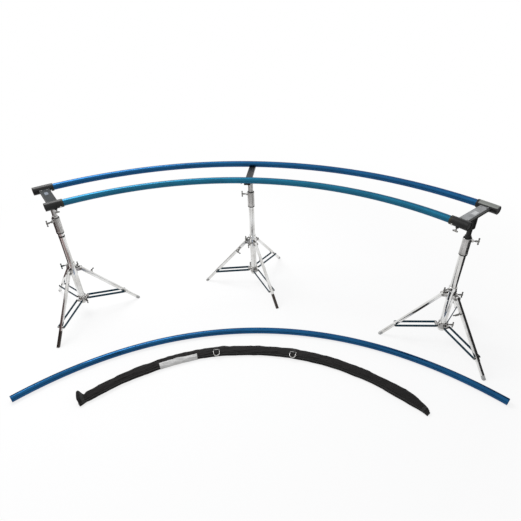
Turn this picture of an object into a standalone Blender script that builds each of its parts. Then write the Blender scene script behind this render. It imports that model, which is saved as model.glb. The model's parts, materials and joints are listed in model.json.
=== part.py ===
"""A curved dolly track: two bent pipe rails held in brackets on three folding stands,
with a loose rail and the rails' soft bag lying on the floor in front of them.

Metres, +Z up, floor at z = 0. Angles along the track are measured at the centre of
its curve from +Y towards +X, so that 0 is the middle of the track.
"""

import math

import bmesh
import bpy
from mathutils import Matrix, Vector

# Fits
clearance = 0.0003  # between pieces that touch or turn in each other
bolt_radius = 0.004
bolt_head_radius = 0.007
bolt_head_height = 0.0035
root = 0.003  # how far a boss is sunk into the thick wall that it stands on
skin = 0.001  # and into a thin one
overrun = 0.01  # how far a cut runs past the face where it comes out

# The curve that the rails follow
curve_crown = Vector((0.0268, 0.49944, 0.0))  # where the track's curve lies furthest out
curve_radius = 1.8925  # to the middle between the two rails
gauge = 0.295  # between the centres of the two rails
rail_height = 0.955  # centre of the rails above the floor
bracket_angle = math.radians(43.0)  # from the middle of the track to each end bracket
middle_angle = math.radians(-2.0)  # where the middle bracket stands

# Rails
rail_radius = 0.02108
rail_wall = 0.0032
rail_insert = 0.106  # how far the rail's end reaches into its socket
rail_bore_sides = 10
rail_steps = 24

# End brackets
socket_length = 0.118
socket_wall = 0.0047
plate_width = 0.064
plate_thickness = 0.012
plate_rise = 0.008  # top of the end plates above the rails' centre

# Middle bracket, one plate with a groove for each rail
bridge_width = 0.044  # along the track
bridge_thickness = 0.018
groove_depth = 0.006
bridge_inner_end = 0.004  # beyond the inner rail's centre
bridge_outer_end = 0.018  # beyond the outer rail's centre
bridge_clamp_place = 0.030  # from the inner rail's centre to its clamp screw
bridge_clamp_tip = 0.004  # from the plate's middle to the screw's end

# Spigots under the brackets, and the stands' top castings that take them
spigot_radius = 0.01429
spigot_depth = 0.066  # inside the casting
shoulder_radius = 0.0184
shoulder_height = 0.014
neck_radius = 0.024  # under the end brackets' plates
casting_drop = 0.149  # from the rails' centre down to the casting's top
neck_rise = 0.062  # from the casting's top to the neck's foot
casting_height = 0.118
casting_wall = 0.0105
casting_web = 0.012  # between the spigot's room and the riser's
receiver_handle_drop = 0.021  # below the casting's top

# Clamp screws of the sockets, which lean away from the stand
clamp_lean = math.radians(35)
clamp_shift = 0.004  # from the socket's middle towards its mouth
clamp_boss_radius = 0.0085
clamp_boss_height = 0.007
clamp_stem = 0.016  # from the boss to the wing
clamp_wing = 0.030

# Riser and base column
riser_radius = 0.0200
riser_wall = 0.0016
riser_foot = 0.250  # lower end of the riser above the floor
guide_wall = 0.0007
guide_height = 0.030
column_wall = 0.0015
column_foot = 0.088
hub_height = 0.385  # the legs' pivots above the floor
hub_wall = 0.00545
hub_rise = 0.036  # half the hub's height
clamp_height = 0.025  # the ring above the hub that clamps the riser
clamp_wall = 0.0035

# Legs
leg_width = 0.01905
leg_wall = 0.0015
leg_tilt = math.radians(41.9)  # from the vertical when open
leg_head = 0.016  # beyond the pivot
leg_length = 0.516  # from the pivot to the foot
foot_plug = 0.028  # the solid end of each leg
pivot_reach = 0.0242  # from the hub's side to the pivot
ear_thickness = 0.005
ear_radius = 0.012
ear_root = 0.0195  # where the ears start inside the hub's wall, from the stand's axis
sleeve_wall = 0.0013
sleeve_length = 0.400
level_leg_start = 0.008
brace_joint = 0.375  # from the leg's pivot to its brace's joint
boss_length = 0.0081
boss_radius = 0.008

# Braces and their sliding collar
brace_height = 0.016
brace_thickness = 0.004
brace_head_radius = 0.0056
collar_height = 0.129
collar_wall = 0.00575
collar_half = 0.022
collar_reach = 0.0113  # from the collar's side to the braces' pivots
lug_width = 0.024
lug_radius = 0.009  # round the braces' bolts
lug_thickness = 0.015

# T-handles
handle_boss_radius = 0.009
handle_boss_length = 0.010
handle_stem = 0.028  # from the boss to the middle of the crossbar
handle_bar = 0.046
handle_bar_radius = 0.0048
handle_hub_radius = 0.0060
level_handle_at = 0.092  # from the leg's pivot

# The loose rail and the bag
loose_rail_crown = Vector((0.3222, -0.08736, 0.0))
loose_rail_radius = 2.127
loose_rail_start = math.radians(-50.26)
loose_rail_end = math.radians(37.0)
bag_crown = Vector((0.2102, -0.28416, 0.0))
bag_radius = 1.432
bag_start = math.radians(-51.2)
bag_end = math.radians(41.0)
bag_width = 0.068
bag_height = 0.036
bag_left_end = (0.050, 0.020)  # width and height
bag_right_end = (0.028, 0.014)
bag_taper = 0.12  # share of half the bag's length over which it thins
bag_steps = 26

# Each stand's place on the track, and how it and its handles are turned about it
stands = {
    "left": dict(angle=-bracket_angle, turn=29.0, side=1, receiver=-150, riser=-174, hub=60),
    "middle": dict(angle=middle_angle, turn=184.9, side=1, receiver=-5, riser=40, hub=65),
    "right": dict(angle=bracket_angle, turn=-59.4, side=-1, receiver=54, riser=-95, hub=60),
}

# Worked out from the sizes above
sides = 16
small_sides = 8
outer_rail_radius = curve_radius + gauge / 2
inner_rail_radius = curve_radius - gauge / 2
socket_radius = rail_radius + clearance + socket_wall
casting_top = rail_height - casting_drop
casting_foot = casting_top - casting_height
neck_foot = casting_top + neck_rise
guide_radius = riser_radius + guide_wall
leg_half = leg_width / 2
sleeve_half = leg_half + clearance + sleeve_wall
slant = math.pi / 2 - leg_tilt  # how far the leg's own +X points below the horizontal


def bore(radius, count=sides):
    """Radius of a faceted hole that a round piece of this radius can turn in."""
    return (radius + clearance) / math.cos(math.pi / count)


screw_hole_radius = bore(bolt_radius, small_sides)
column_bore = guide_radius + clearance
column_radius = column_bore + column_wall
hub_radius = column_radius + hub_wall
pivot_radius = hub_radius + pivot_reach
casting_radius = bore(spigot_radius) + casting_wall
riser_bush = riser_radius + clearance
collar_bore = column_radius + clearance
collar_radius = collar_bore + collar_wall
brace_pivot_radius = collar_radius + collar_reach
bar_inner = sleeve_half + boss_length
bar_outer = bar_inner + brace_thickness

parts = bpy.data.collections.new("curved_dolly_track")
cutters = bpy.data.collections.new("track_cutters")


def clear_scene():
    for item in list(bpy.data.objects):
        bpy.data.objects.remove(item)
    for collection in (parts, cutters):
        bpy.context.scene.collection.children.link(collection)
    cutters.hide_render = True


def finish(name, colour, metallic, roughness):
    """A material with one Principled shader."""
    made = bpy.data.materials.new(name)
    made.use_nodes = True
    shader = made.node_tree.nodes["Principled BSDF"]
    shader.inputs["Base Color"].default_value = (*colour, 1.0)
    shader.inputs["Metallic"].default_value = metallic
    shader.inputs["Roughness"].default_value = roughness
    made.diffuse_color = (*colour, 1.0)
    return made


def new_empty(name, matrix, parent=None):
    empty = bpy.data.objects.new(name, None)
    parts.objects.link(empty)
    empty.parent = parent
    empty.matrix_basis = matrix
    return empty


def new_part(name, shape, surface, matrix=None, parent=None):
    """A part from a bmesh, placed by its matrix under its parent."""
    mesh = bpy.data.meshes.new(name)
    shape.to_mesh(mesh)
    shape.free()
    mesh.materials.append(surface)
    part = bpy.data.objects.new(name, mesh)
    parts.objects.link(part)
    part.parent = parent
    part.matrix_basis = matrix or Matrix()
    return part


def combine(part, operation, *shapes):
    """Joins solids to a part, or cuts them from it. Each shape has the part's own frame."""
    for shape in shapes:
        name = f"{part.name}.{operation.lower()}.{len(part.modifiers)}"
        mesh = bpy.data.meshes.new(name)
        shape.to_mesh(mesh)
        shape.free()
        tool = bpy.data.objects.new(name, mesh)
        cutters.objects.link(tool)
        tool.parent = part
        tool.hide_render = True
        tool.display_type = "WIRE"
        add_boolean(part, operation, tool)


def add_boolean(part, operation, tool):
    boolean = part.modifiers.new(tool.name, "BOOLEAN")
    boolean.operation = operation
    boolean.solver = "EXACT"
    boolean.object = tool


def shade(part, limit=math.radians(30)):
    part.data.shade_smooth()
    part.data.set_sharp_from_angle(angle=limit)


def along(start, end):
    """Matrix that carries a unit piece on the Z axis to the line from start to end."""
    start, end = Vector(start), Vector(end)
    turn = (end - start).to_track_quat("Z", "Y").to_matrix().to_4x4()
    return Matrix.Translation((start + end) / 2) @ turn


def cylinders(*runs, count=small_sides):
    """One shape of separate cylinders. Each run is (start, end, radius)."""
    shape = bmesh.new()
    for start, end, radius in runs:
        depth = (Vector(end) - Vector(start)).length
        bmesh.ops.create_cone(
            shape, cap_ends=True, segments=count, radius1=radius, radius2=radius,
            depth=depth, matrix=along(start, end),
        )
    return shape


def boxes(*corners):
    """One shape of separate boxes. Each entry is (lowest corner, highest corner)."""
    shape = bmesh.new()
    for low, high in corners:
        low, high = Vector(low), Vector(high)
        size = Matrix.Diagonal((*(high - low), 1.0))
        bmesh.ops.create_cube(
            shape, size=1.0, matrix=Matrix.Translation((low + high) / 2) @ size
        )
    return shape


def turned(name, profile, surface, matrix=None, parent=None):
    """A turned part: its profile, (radius, height) down the outside, goes round Z."""
    shape = bmesh.new()
    corners = [shape.verts.new((radius, 0.0, height)) for radius, height in profile]
    for first, second in zip(corners, corners[1:] + corners[:1]):
        shape.edges.new((first, second))
    part = new_part(name, shape, surface, matrix, parent)
    screw = part.modifiers.new("turn", "SCREW")
    screw.steps = screw.render_steps = sides
    screw.use_merge_vertices = True
    screw.merge_threshold = 0.00001
    return part


def on_curve(radius, angle, height=0.0):
    """A point at this angle, in the frame of a curve's centre."""
    return Vector((radius * math.sin(angle), radius * math.cos(angle), height))


def bent_bar(radius, thickness, start, end, steps, height, count=sides):
    """A round bar bent about Z: a disc at its start, spun to its end."""
    shape = bmesh.new()
    upright = Matrix.Rotation(-start, 4, "Z") @ Matrix.Translation((0, radius, height))
    upright = upright @ Matrix.Rotation(math.pi / 2, 4, "Y")
    disc = bmesh.ops.create_circle(
        shape, cap_ends=True, segments=count, radius=thickness, matrix=upright
    )
    faces = disc["verts"][0].link_faces[:]
    bmesh.ops.spin(
        shape, geom=[*disc["verts"], *shape.edges, *faces], cent=(0, 0, 0), axis=(0, 0, 1),
        dvec=(0, 0, 0), angle=start - end, steps=steps, use_merge=False, use_duplicate=False,
    )
    bmesh.ops.recalc_face_normals(shape, faces=shape.faces)
    return shape


def hollow_rail(name, radius, start, end, height, surface, parent):
    """A pipe rail: a bent bar with a thinner one cut out right through."""
    pipe = bent_bar(radius, rail_radius, start, end, rail_steps, height)
    rail = new_part(name, pipe, surface, parent=parent)
    step = (end - start) / rail_steps
    inside = bent_bar(
        radius, rail_radius - rail_wall, start - step, end + step, rail_steps + 2, height,
        rail_bore_sides,
    )
    combine(rail, "DIFFERENCE", inside)
    shade(rail)
    return rail


def rail_envelope(name, radius, start, end, parent):
    """The room that a rail takes in its brackets."""
    reach = clearance / radius
    room = rail_radius + clearance
    shape = bent_bar(radius, room, start - reach, end + reach, rail_steps, rail_height)
    mesh = bpy.data.meshes.new(name)
    shape.to_mesh(mesh)
    shape.free()
    envelope = bpy.data.objects.new(name, mesh)
    cutters.objects.link(envelope)
    envelope.parent = parent
    envelope.hide_render = True
    envelope.display_type = "WIRE"
    return envelope


def rail_end_angle():
    """Both rails stop at the same angle, near the outer ends of the sockets."""
    return bracket_angle + (rail_insert - socket_length / 2) / curve_radius


def make_rails(track, surface):
    end = rail_end_angle()
    envelopes = []
    for name, radius in (("outer_rail", outer_rail_radius), ("inner_rail", inner_rail_radius)):
        hollow_rail(name, radius, -end, end, rail_height, surface, track)
        envelopes.append(rail_envelope(f"{name}.room", radius, -end, end, track))
    return envelopes


def curve_place(name, crown, radius):
    """An empty at the centre of a curve that is known by its crown and its radius."""
    return new_empty(name, Matrix.Translation(crown - Vector((0, radius, 0))))


def bracket_frame(name, angle, track):
    """An empty over a stand: +Y points outwards from the curve's centre, +X along the track."""
    matrix = Matrix.Translation(on_curve(curve_radius, angle)) @ Matrix.Rotation(-angle, 4, "Z")
    return new_empty(f"{name}_bracket_place", matrix, track)


def spigot(top, shoulder_top):
    """A pin hanging from a bracket's plate, with a shoulder that sits on the casting."""
    foot = casting_top - spigot_depth
    seat = casting_top + clearance
    pin = cylinders(((0, 0, foot), (0, 0, top), spigot_radius), count=sides)
    shoulder = cylinders(((0, 0, seat), (0, 0, shoulder_top), shoulder_radius), count=sides)
    return pin, shoulder


def clamp_matrix(centre_y, direction):
    """A clamp screw's frame: its origin on the rail's centre, its +X pointing out of the socket."""
    outward = math.copysign(1, centre_y)
    angle = direction * clamp_shift / curve_radius
    point = on_curve(curve_radius + centre_y, angle, rail_height)
    place = Matrix.Translation(point - Vector((0, curve_radius, 0)))
    lean = Matrix.Rotation(outward * clamp_lean, 4, "X")
    return place @ lean @ Matrix.Rotation(math.pi / 2, 4, "Y")


def socket_shapes(centre_y, direction):
    """One socket's outside, the boss of its clamp screw and its hole, in the bracket's frame."""
    radius = curve_radius + centre_y
    reach = socket_length / 2 / curve_radius
    outside = bent_bar(radius, socket_radius, -reach, reach, 2, rail_height)
    bmesh.ops.translate(outside, verts=outside.verts, vec=(0, -curve_radius, 0))
    end = socket_radius + clamp_boss_height
    boss = cylinders(((rail_radius, 0, 0), (end, 0, 0), clamp_boss_radius))
    hole = cylinders(((rail_radius, 0, 0), (end + overrun, 0, 0), screw_hole_radius))
    for shape in (boss, hole):
        bmesh.ops.transform(shape, matrix=clamp_matrix(centre_y, direction), verts=shape.verts)
    return outside, boss, hole


def make_end_bracket(name, angle, track, envelopes, surface):
    """A plate between two sockets, with a spigot underneath, welded into one."""
    frame = bracket_frame(name, angle, track)
    half = gauge / 2 - rail_radius
    top = rail_height + plate_rise
    plate = boxes(((-plate_width / 2, -half, top - plate_thickness), (plate_width / 2, half, top)))
    part = new_part(f"{name}_bracket", plate, surface, parent=frame)
    direction = -math.copysign(1, angle)
    holes = []
    for centre_y in (-gauge / 2, gauge / 2):
        outside, boss, hole = socket_shapes(centre_y, direction)
        combine(part, "UNION", outside, boss)
        holes.append(hole)
    inside_plate = top - plate_thickness / 2
    neck = cylinders(((0, 0, neck_foot), (0, 0, inside_plate), neck_radius), count=sides)
    combine(part, "UNION", neck, *spigot(inside_plate, casting_top + shoulder_height))
    for envelope in envelopes:
        add_boolean(part, "DIFFERENCE", envelope)
    combine(part, "DIFFERENCE", *holes)
    shade(part)
    return frame, direction


def make_middle_bracket(track, envelopes, surfaces):
    """A plate under both rails, with a groove for each, a clamp screw and a spigot."""
    frame = bracket_frame("middle", middle_angle, track)
    top = rail_height - rail_radius + groove_depth
    foot = top - bridge_thickness
    half = bridge_width / 2
    low = (-half, -gauge / 2 - bridge_inner_end, foot)
    high = (half, gauge / 2 + bridge_outer_end, top)
    part = new_part("middle_bracket", boxes((low, high)), surfaces["black"], parent=frame)
    inside_plate = foot + bridge_thickness / 2
    boss_end = half + clamp_boss_height
    sideways = Matrix.Translation((0, bridge_clamp_place - gauge / 2, inside_plate))
    sideways = sideways @ Matrix.Rotation(math.pi, 4, "Z")
    boss = cylinders(((half - root, 0, 0), (boss_end, 0, 0), clamp_boss_radius))
    hole = cylinders(((bridge_clamp_tip, 0, 0), (boss_end + overrun, 0, 0), screw_hole_radius))
    for shape in (boss, hole):
        bmesh.ops.transform(shape, matrix=sideways, verts=shape.verts)
    combine(part, "UNION", boss, *spigot(inside_plate, inside_plate))
    for envelope in envelopes:
        add_boolean(part, "DIFFERENCE", envelope)
    combine(part, "DIFFERENCE", hole)
    shade(part)
    t_handle(
        "middle_clamp", bridge_clamp_tip + clearance, boss_end, clamp_wing, clamp_stem,
        surfaces["steel"], sideways, frame,
    )


def t_handle(name, tip, boss, bar, stem, surface, matrix, parent):
    """A screw with a crossbar: its stem lies on its own +X, from its tip past its boss."""
    end = boss + stem
    shape = cylinders(((tip, 0, 0), (end, 0, 0), bolt_radius))
    part = new_part(name, shape, surface, matrix, parent)
    knuckle = cylinders(((boss + stem / 3, 0, 0), (end + bolt_radius, 0, 0), handle_hub_radius))
    crossbar = cylinders(((end, 0, -bar / 2), (end, 0, bar / 2), handle_bar_radius))
    combine(part, "UNION", knuckle, crossbar)
    shade(part)
    return part


def make_clamp_screws(name, frame, direction, surface):
    for label, centre_y in (("inner", -gauge / 2), ("outer", gauge / 2)):
        boss = socket_radius + clamp_boss_height
        t_handle(
            f"{name}_{label}_clamp", rail_radius + clearance, boss, clamp_wing, clamp_stem,
            surface, clamp_matrix(centre_y, direction), frame,
        )


def handle_matrix(height, turn):
    """Places a handle at a height, its stem pointing away from the stand's axis."""
    return Matrix.Translation((0, 0, height)) @ Matrix.Rotation(math.radians(turn), 4, "Z")


def radial(turn, start, end, height, radius):
    """A run for cylinders() that points away from the stand's axis."""
    direction = Matrix.Rotation(math.radians(turn), 3, "Z") @ Vector((1, 0, 0))
    lift = Vector((0, 0, height))
    return direction * start + lift, direction * end + lift, radius


def add_handle_boss(part, turn, height, hole_start, boss_start, end):
    """A boss for a T-handle's screw, with its hole, both pointing away from the axis."""
    boss = cylinders(radial(turn, boss_start, end, height, handle_boss_radius))
    hole = cylinders(radial(turn, hole_start, end + overrun, height, screw_hole_radius))
    combine(part, "UNION", boss)
    combine(part, "DIFFERENCE", hole)


def make_casting(name, stand, place, surfaces):
    """The stand's top casting, its riser tube and the handle that clamps the spigot."""
    handle_height = casting_top - receiver_handle_drop
    receiver = bore(spigot_radius)
    floor = casting_top - spigot_depth - clearance
    ceiling = floor - casting_web
    profile = (
        (casting_radius, casting_top), (casting_radius, casting_foot), (riser_bush, casting_foot),
        (riser_bush, ceiling), (bolt_radius, ceiling), (bolt_radius, floor), (receiver, floor),
        (receiver, casting_top),
    )
    casting = turned(f"{name}_top_casting", profile, surfaces["chrome"], parent=place)
    boss_end = casting_radius + handle_boss_length
    add_handle_boss(
        casting, stand["receiver"], handle_height, spigot_radius / 2, receiver + root, boss_end
    )
    shade(casting)
    t_handle(
        f"{name}_receiver_handle", spigot_radius + clearance, boss_end, handle_bar, handle_stem,
        surfaces["steel"], handle_matrix(handle_height, stand["receiver"]), place,
    )
    guide_top = riser_foot + guide_height
    inner = riser_radius - riser_wall
    profile = (
        (riser_radius, ceiling - clearance), (riser_radius, guide_top), (guide_radius, guide_top),
        (guide_radius, riser_foot), (inner, riser_foot), (inner, ceiling - clearance),
    )
    shade(turned(f"{name}_riser", profile, surfaces["chrome"], parent=place))


def ear_corners(half):
    """The two ears of one leg's hinge, in the leg's turned frame at the stand's axis."""
    for direction in (-1, 1):
        near = direction * (half + clearance)
        far = direction * (half + clearance + ear_thickness)
        low = (ear_root, min(near, far), hub_height - ear_radius)
        high = (pivot_radius + ear_radius, max(near, far), hub_height + ear_radius)
        yield low, high


def turn_shape(shape, turn):
    bmesh.ops.rotate(shape, verts=shape.verts, cent=(0, 0, 0), matrix=Matrix.Rotation(turn, 3, "Z"))
    return shape


def leg_halves():
    """Half the width of each leg where it hangs in its ears: the sleeve, then two plain legs."""
    return (sleeve_half, leg_half, leg_half)


def make_column(name, stand, place, surfaces):
    """The base column: a tube with the hub that carries the legs and clamps the riser."""
    hub_top, hub_foot = hub_height + hub_rise, hub_height - hub_rise
    clamp_radius = column_radius + clamp_wall
    clamp_top = hub_top + clamp_height
    profile = (
        (clamp_radius, clamp_top), (clamp_radius, hub_top), (hub_radius, hub_top),
        (hub_radius, hub_foot), (column_radius, hub_foot), (column_radius, column_foot),
        (column_bore, column_foot), (column_bore, hub_top), (riser_bush, hub_top),
        (riser_bush, clamp_top),
    )
    column = turned(f"{name}_base_column", profile, surfaces["chrome"], parent=place)
    for index, half in enumerate(leg_halves()):
        turn = index * 2 * math.pi / 3
        combine(column, "UNION", turn_shape(boxes(*ear_corners(half)), turn))
        reach = half + ear_thickness + overrun
        hole = cylinders((
            (pivot_radius, -reach, hub_height), (pivot_radius, reach, hub_height),
            screw_hole_radius,
        ))
        combine(column, "DIFFERENCE", turn_shape(hole, turn))
    riser_height = hub_top + clamp_height / 2
    riser_end = clamp_radius + handle_boss_length
    hub_end = hub_radius + handle_boss_length
    handles = (
        ("riser", riser_height, riser_radius, riser_radius / 2, riser_bush + root, riser_end),
        ("hub", hub_height, column_radius, column_radius, column_radius + root, hub_end),
    )
    for label, height, tip, hole_start, boss_start, end in handles:
        add_handle_boss(column, stand[label], height, hole_start, boss_start, end)
        t_handle(
            f"{name}_{label}_handle", tip + clearance, end, handle_bar, handle_stem,
            surfaces["steel"], handle_matrix(height, stand[label]), place,
        )
    shade(column)


def leg_matrix(index):
    """A leg's frame: its origin on its pivot and +X running down along the leg."""
    turn = Matrix.Rotation(index * 2 * math.pi / 3, 4, "Z")
    pivot = Matrix.Translation((pivot_radius, 0, hub_height))
    return turn @ pivot @ Matrix.Rotation(slant, 4, "Y")


def square_tube(start, end, inner_end, half, wall):
    """A square tube along X, and the room inside it, which starts before it."""
    inside = half - wall
    outer = boxes(((start, -half, -half), (end, half, half)))
    inner = boxes(((start - overrun, -inside, -inside), (inner_end, inside, inside)))
    return outer, inner


def floor_cut(shape):
    """Cuts a leg off level with the floor."""
    point = Vector((hub_height / math.sin(slant), 0, 0))
    normal = Vector((math.sin(slant), 0, -math.cos(slant)))
    cut = bmesh.ops.bisect_plane(
        shape, geom=[*shape.verts, *shape.edges, *shape.faces], plane_co=point, plane_no=normal,
        clear_outer=True,
    )
    rim = [item for item in cut["geom_cut"] if isinstance(item, bmesh.types.BMEdge)]
    bmesh.ops.contextual_create(shape, geom=rim)
    bmesh.ops.recalc_face_normals(shape, faces=shape.faces)
    return shape


def pivot_bolt(half):
    """A leg's hinge bolt: a shank through both ears, and a head outside each."""
    outside = half + 2 * clearance + ear_thickness
    end = outside + bolt_head_height
    shank = cylinders(((0, -end, 0), (0, end, 0), bolt_radius))
    heads = cylinders(
        ((0, -end, 0), (0, -outside, 0), bolt_head_radius),
        ((0, outside, 0), (0, end, 0), bolt_head_radius),
    )
    return shank, heads


def brace_bosses(half):
    """The bosses on a leg that its brace's bars stand beside."""
    end = bar_inner - clearance
    return cylinders(
        ((brace_joint, -end, 0), (brace_joint, skin - half, 0), boss_radius),
        ((brace_joint, half - skin, 0), (brace_joint, end, 0), boss_radius),
    )


def make_legs(name, place, surfaces):
    """Two plain square legs, cut off level with the floor."""
    for index, label in ((1, "leg_b"), (2, "leg_c")):
        outer, inner = square_tube(
            -leg_head, leg_length, leg_length - foot_plug, leg_half, leg_wall
        )
        matrix = leg_matrix(index)
        part = new_part(f"{name}_{label}", floor_cut(outer), surfaces["chrome"], matrix, place)
        combine(part, "DIFFERENCE", inner)
        combine(part, "UNION", *pivot_bolt(leg_half), brace_bosses(leg_half))
        shade(part)


def make_level_leg(name, stand, place, surfaces):
    """The levelling leg: a sleeve on the hub, a leg that slides in it, and its clamp."""
    side = stand["side"]
    outer, inner = square_tube(
        -leg_head, sleeve_length, sleeve_length + overrun, sleeve_half, sleeve_wall
    )
    sleeve = new_part(f"{name}_level_sleeve", outer, surfaces["chrome"], leg_matrix(0), place)
    combine(sleeve, "DIFFERENCE", inner)
    boss_end = sleeve_half + handle_boss_length
    start = side * (sleeve_half - skin)
    place_of = Vector((level_handle_at, 0, 0))
    out = Vector((0, 1, 0))
    boss = cylinders((place_of + out * start, place_of + out * side * boss_end, handle_boss_radius))
    combine(sleeve, "UNION", *pivot_bolt(sleeve_half), brace_bosses(sleeve_half), boss)
    end = place_of + out * side * (boss_end + overrun)
    combine(sleeve, "DIFFERENCE", cylinders((place_of, end, screw_hole_radius)))
    shade(sleeve)
    turn = Matrix.Rotation(side * math.pi / 2, 4, "Z")
    t_handle(
        f"{name}_level_handle", leg_half + clearance, boss_end, handle_bar, handle_stem,
        surfaces["steel"], leg_matrix(0) @ Matrix.Translation(place_of) @ turn, place,
    )
    outer, inner = square_tube(
        level_leg_start, leg_length, leg_length - foot_plug, leg_half, leg_wall
    )
    leg = new_part(f"{name}_level_leg", floor_cut(outer), surfaces["chrome"], leg_matrix(0), place)
    combine(leg, "DIFFERENCE", inner)
    shade(leg)


def brace_line():
    """The brace's length, and how far it points below the horizontal."""
    run = pivot_radius + brace_joint * math.sin(leg_tilt) - brace_pivot_radius
    drop = collar_height - hub_height + brace_joint * math.cos(leg_tilt)
    return math.hypot(run, drop), math.atan2(drop, run)


def make_collar(name, stand, place, surfaces):
    """The sliding collar that the braces hinge on, with the handle that clamps it."""
    turn = -60 * stand["side"]
    profile = (
        (collar_radius, collar_half), (collar_radius, -collar_half), (collar_bore, -collar_half),
        (collar_bore, collar_half),
    )
    matrix = Matrix.Translation((0, 0, collar_height))
    collar = turned(f"{name}_brace_collar", profile, surfaces["chrome"], matrix, place)
    inner = collar_radius - root
    end = bar_inner - clearance
    for index in range(3):
        angle = index * 2 * math.pi / 3
        low = (inner, -lug_width / 2, -lug_thickness / 2)
        lug = boxes((low, (brace_pivot_radius, lug_width / 2, lug_thickness / 2)))
        eye = cylinders(((brace_pivot_radius, -end, 0), (brace_pivot_radius, end, 0), lug_radius))
        hole = cylinders((
            (brace_pivot_radius, -end - overrun, 0), (brace_pivot_radius, end + overrun, 0),
            screw_hole_radius,
        ))
        combine(collar, "UNION", turn_shape(lug, angle), turn_shape(eye, angle))
        combine(collar, "DIFFERENCE", turn_shape(hole, angle))
    boss_end = collar_radius + handle_boss_length
    add_handle_boss(collar, turn, 0, column_radius / 2, collar_bore + root, boss_end)
    shade(collar)
    t_handle(
        f"{name}_collar_handle", column_radius + clearance, boss_end, handle_bar, handle_stem,
        surfaces["steel"], handle_matrix(collar_height, turn), place,
    )


def make_braces(name, place, surfaces):
    """Three braces: each is a pair of flat bars on one bolt through the collar's eye."""
    length, drop = brace_line()
    half = brace_height / 2
    head = bar_outer + bolt_head_height
    for index, label in enumerate("abc"):
        turn = Matrix.Rotation(index * 2 * math.pi / 3, 4, "Z")
        pivot = Matrix.Translation((brace_pivot_radius, 0, collar_height))
        matrix = turn @ pivot @ Matrix.Rotation(drop, 4, "Y")
        bars = boxes(
            ((-half, -bar_outer, -half), (length + half, -bar_inner, half)),
            ((-half, bar_inner, -half), (length + half, bar_outer, half)),
        )
        part = new_part(f"{name}_brace_{label}", bars, surfaces["brace_blue"], matrix, place)
        shank = cylinders(((0, -head, 0), (0, head, 0), bolt_radius))
        middle = (bar_inner + bar_outer) / 2
        heads = cylinders(
            ((0, -head, 0), (0, -middle, 0), brace_head_radius),
            ((0, middle, 0), (0, head, 0), brace_head_radius),
            ((length, -head, 0), (length, -middle, 0), brace_head_radius),
            ((length, middle, 0), (length, head, 0), brace_head_radius),
        )
        combine(part, "UNION", shank, heads)
        shade(part)


def make_stand(name, stand, track, surfaces):
    """A folding stand under one bracket. Its frame's +X points along the levelling leg."""
    centre = on_curve(curve_radius, stand["angle"])
    turn = Matrix.Rotation(math.radians(stand["turn"]), 4, "Z")
    place = new_empty(f"{name}_stand_place", Matrix.Translation(centre) @ turn, track)
    make_casting(name, stand, place, surfaces)
    make_column(name, stand, place, surfaces)
    make_level_leg(name, stand, place, surfaces)
    make_legs(name, place, surfaces)
    make_collar(name, stand, place, surfaces)
    make_braces(name, place, surfaces)


def make_loose_rail(surface):
    place = curve_place("loose_rail_place", loose_rail_crown, loose_rail_radius)
    start, end = loose_rail_start, loose_rail_end
    hollow_rail("loose_rail", loose_rail_radius, start, end, rail_radius, surface, place)


def bag_section(width, height):
    """The bag across, as (sideways, up): flat underneath, with rounded shoulders."""
    outline = ((0.36, 0.0), (0.5, 0.28), (0.46, 0.62), (0.28, 0.9), (0.0, 1.0))
    right = [(side * width, up * height) for side, up in outline]
    left = [(-side, up) for side, up in reversed(right[:-1])]
    return right + left


def bag_size(share):
    """The bag's width and height at this share of its length: it thins towards its ends."""
    fullness = min(1.0, (1 - abs(2 * share - 1)) / bag_taper)
    left_end = Vector(bag_left_end)
    end = left_end if share < 0.5 else Vector(bag_right_end)
    return end.lerp(Vector((bag_width, bag_height)), math.sin(fullness * math.pi / 2))


def make_bag(surface):
    """The empty bag lies in one bend: sections of unlike size, joined ring to ring."""
    shape = bmesh.new()
    rings = []
    for step in range(bag_steps + 1):
        share = step / bag_steps
        angle = bag_start + (bag_end - bag_start) * share
        section = bag_section(*bag_size(share))
        ring = [shape.verts.new(on_curve(bag_radius + side, angle, up)) for side, up in section]
        pairs = zip(ring, ring[1:] + ring[:1])
        rings.append([shape.edges.new(pair) for pair in pairs])
    for ring, after in zip(rings, rings[1:]):
        bmesh.ops.bridge_loops(shape, edges=ring + after)
    bmesh.ops.holes_fill(shape, edges=rings[0] + rings[-1])
    bmesh.ops.recalc_face_normals(shape, faces=shape.faces)
    place = curve_place("bag_place", bag_crown, bag_radius)
    bag = new_part("rail_bag", shape, surface, parent=place)
    shade(bag, math.radians(60))


def main():
    clear_scene()
    surfaces = {
        "rail_blue": finish("rail_blue", (0.012, 0.105, 0.30), 0.85, 0.28),
        "brace_blue": finish("brace_blue", (0.010, 0.055, 0.14), 0.7, 0.35),
        "black": finish("black_anodised", (0.022, 0.023, 0.025), 0.6, 0.42),
        "chrome": finish("chrome", (0.62, 0.62, 0.61), 1.0, 0.16),
        "steel": finish("dull_steel", (0.30, 0.30, 0.30), 1.0, 0.30),
        "fabric": finish("black_nylon", (0.012, 0.012, 0.013), 0.0, 0.85),
    }
    track = curve_place("track_place", curve_crown, curve_radius)
    envelopes = make_rails(track, surfaces["rail_blue"])
    make_middle_bracket(track, envelopes, surfaces)
    for name, angle in (("left", -bracket_angle), ("right", bracket_angle)):
        frame, direction = make_end_bracket(name, angle, track, envelopes, surfaces["black"])
        make_clamp_screws(name, frame, direction, surfaces["steel"])
    for name, stand in stands.items():
        make_stand(name, stand, track, surfaces)
    make_loose_rail(surfaces["rail_blue"])
    make_bag(surfaces["fabric"])


main()
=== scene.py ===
import json
import math
import bpy
import numpy as np
from mathutils import Matrix, Vector


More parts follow.
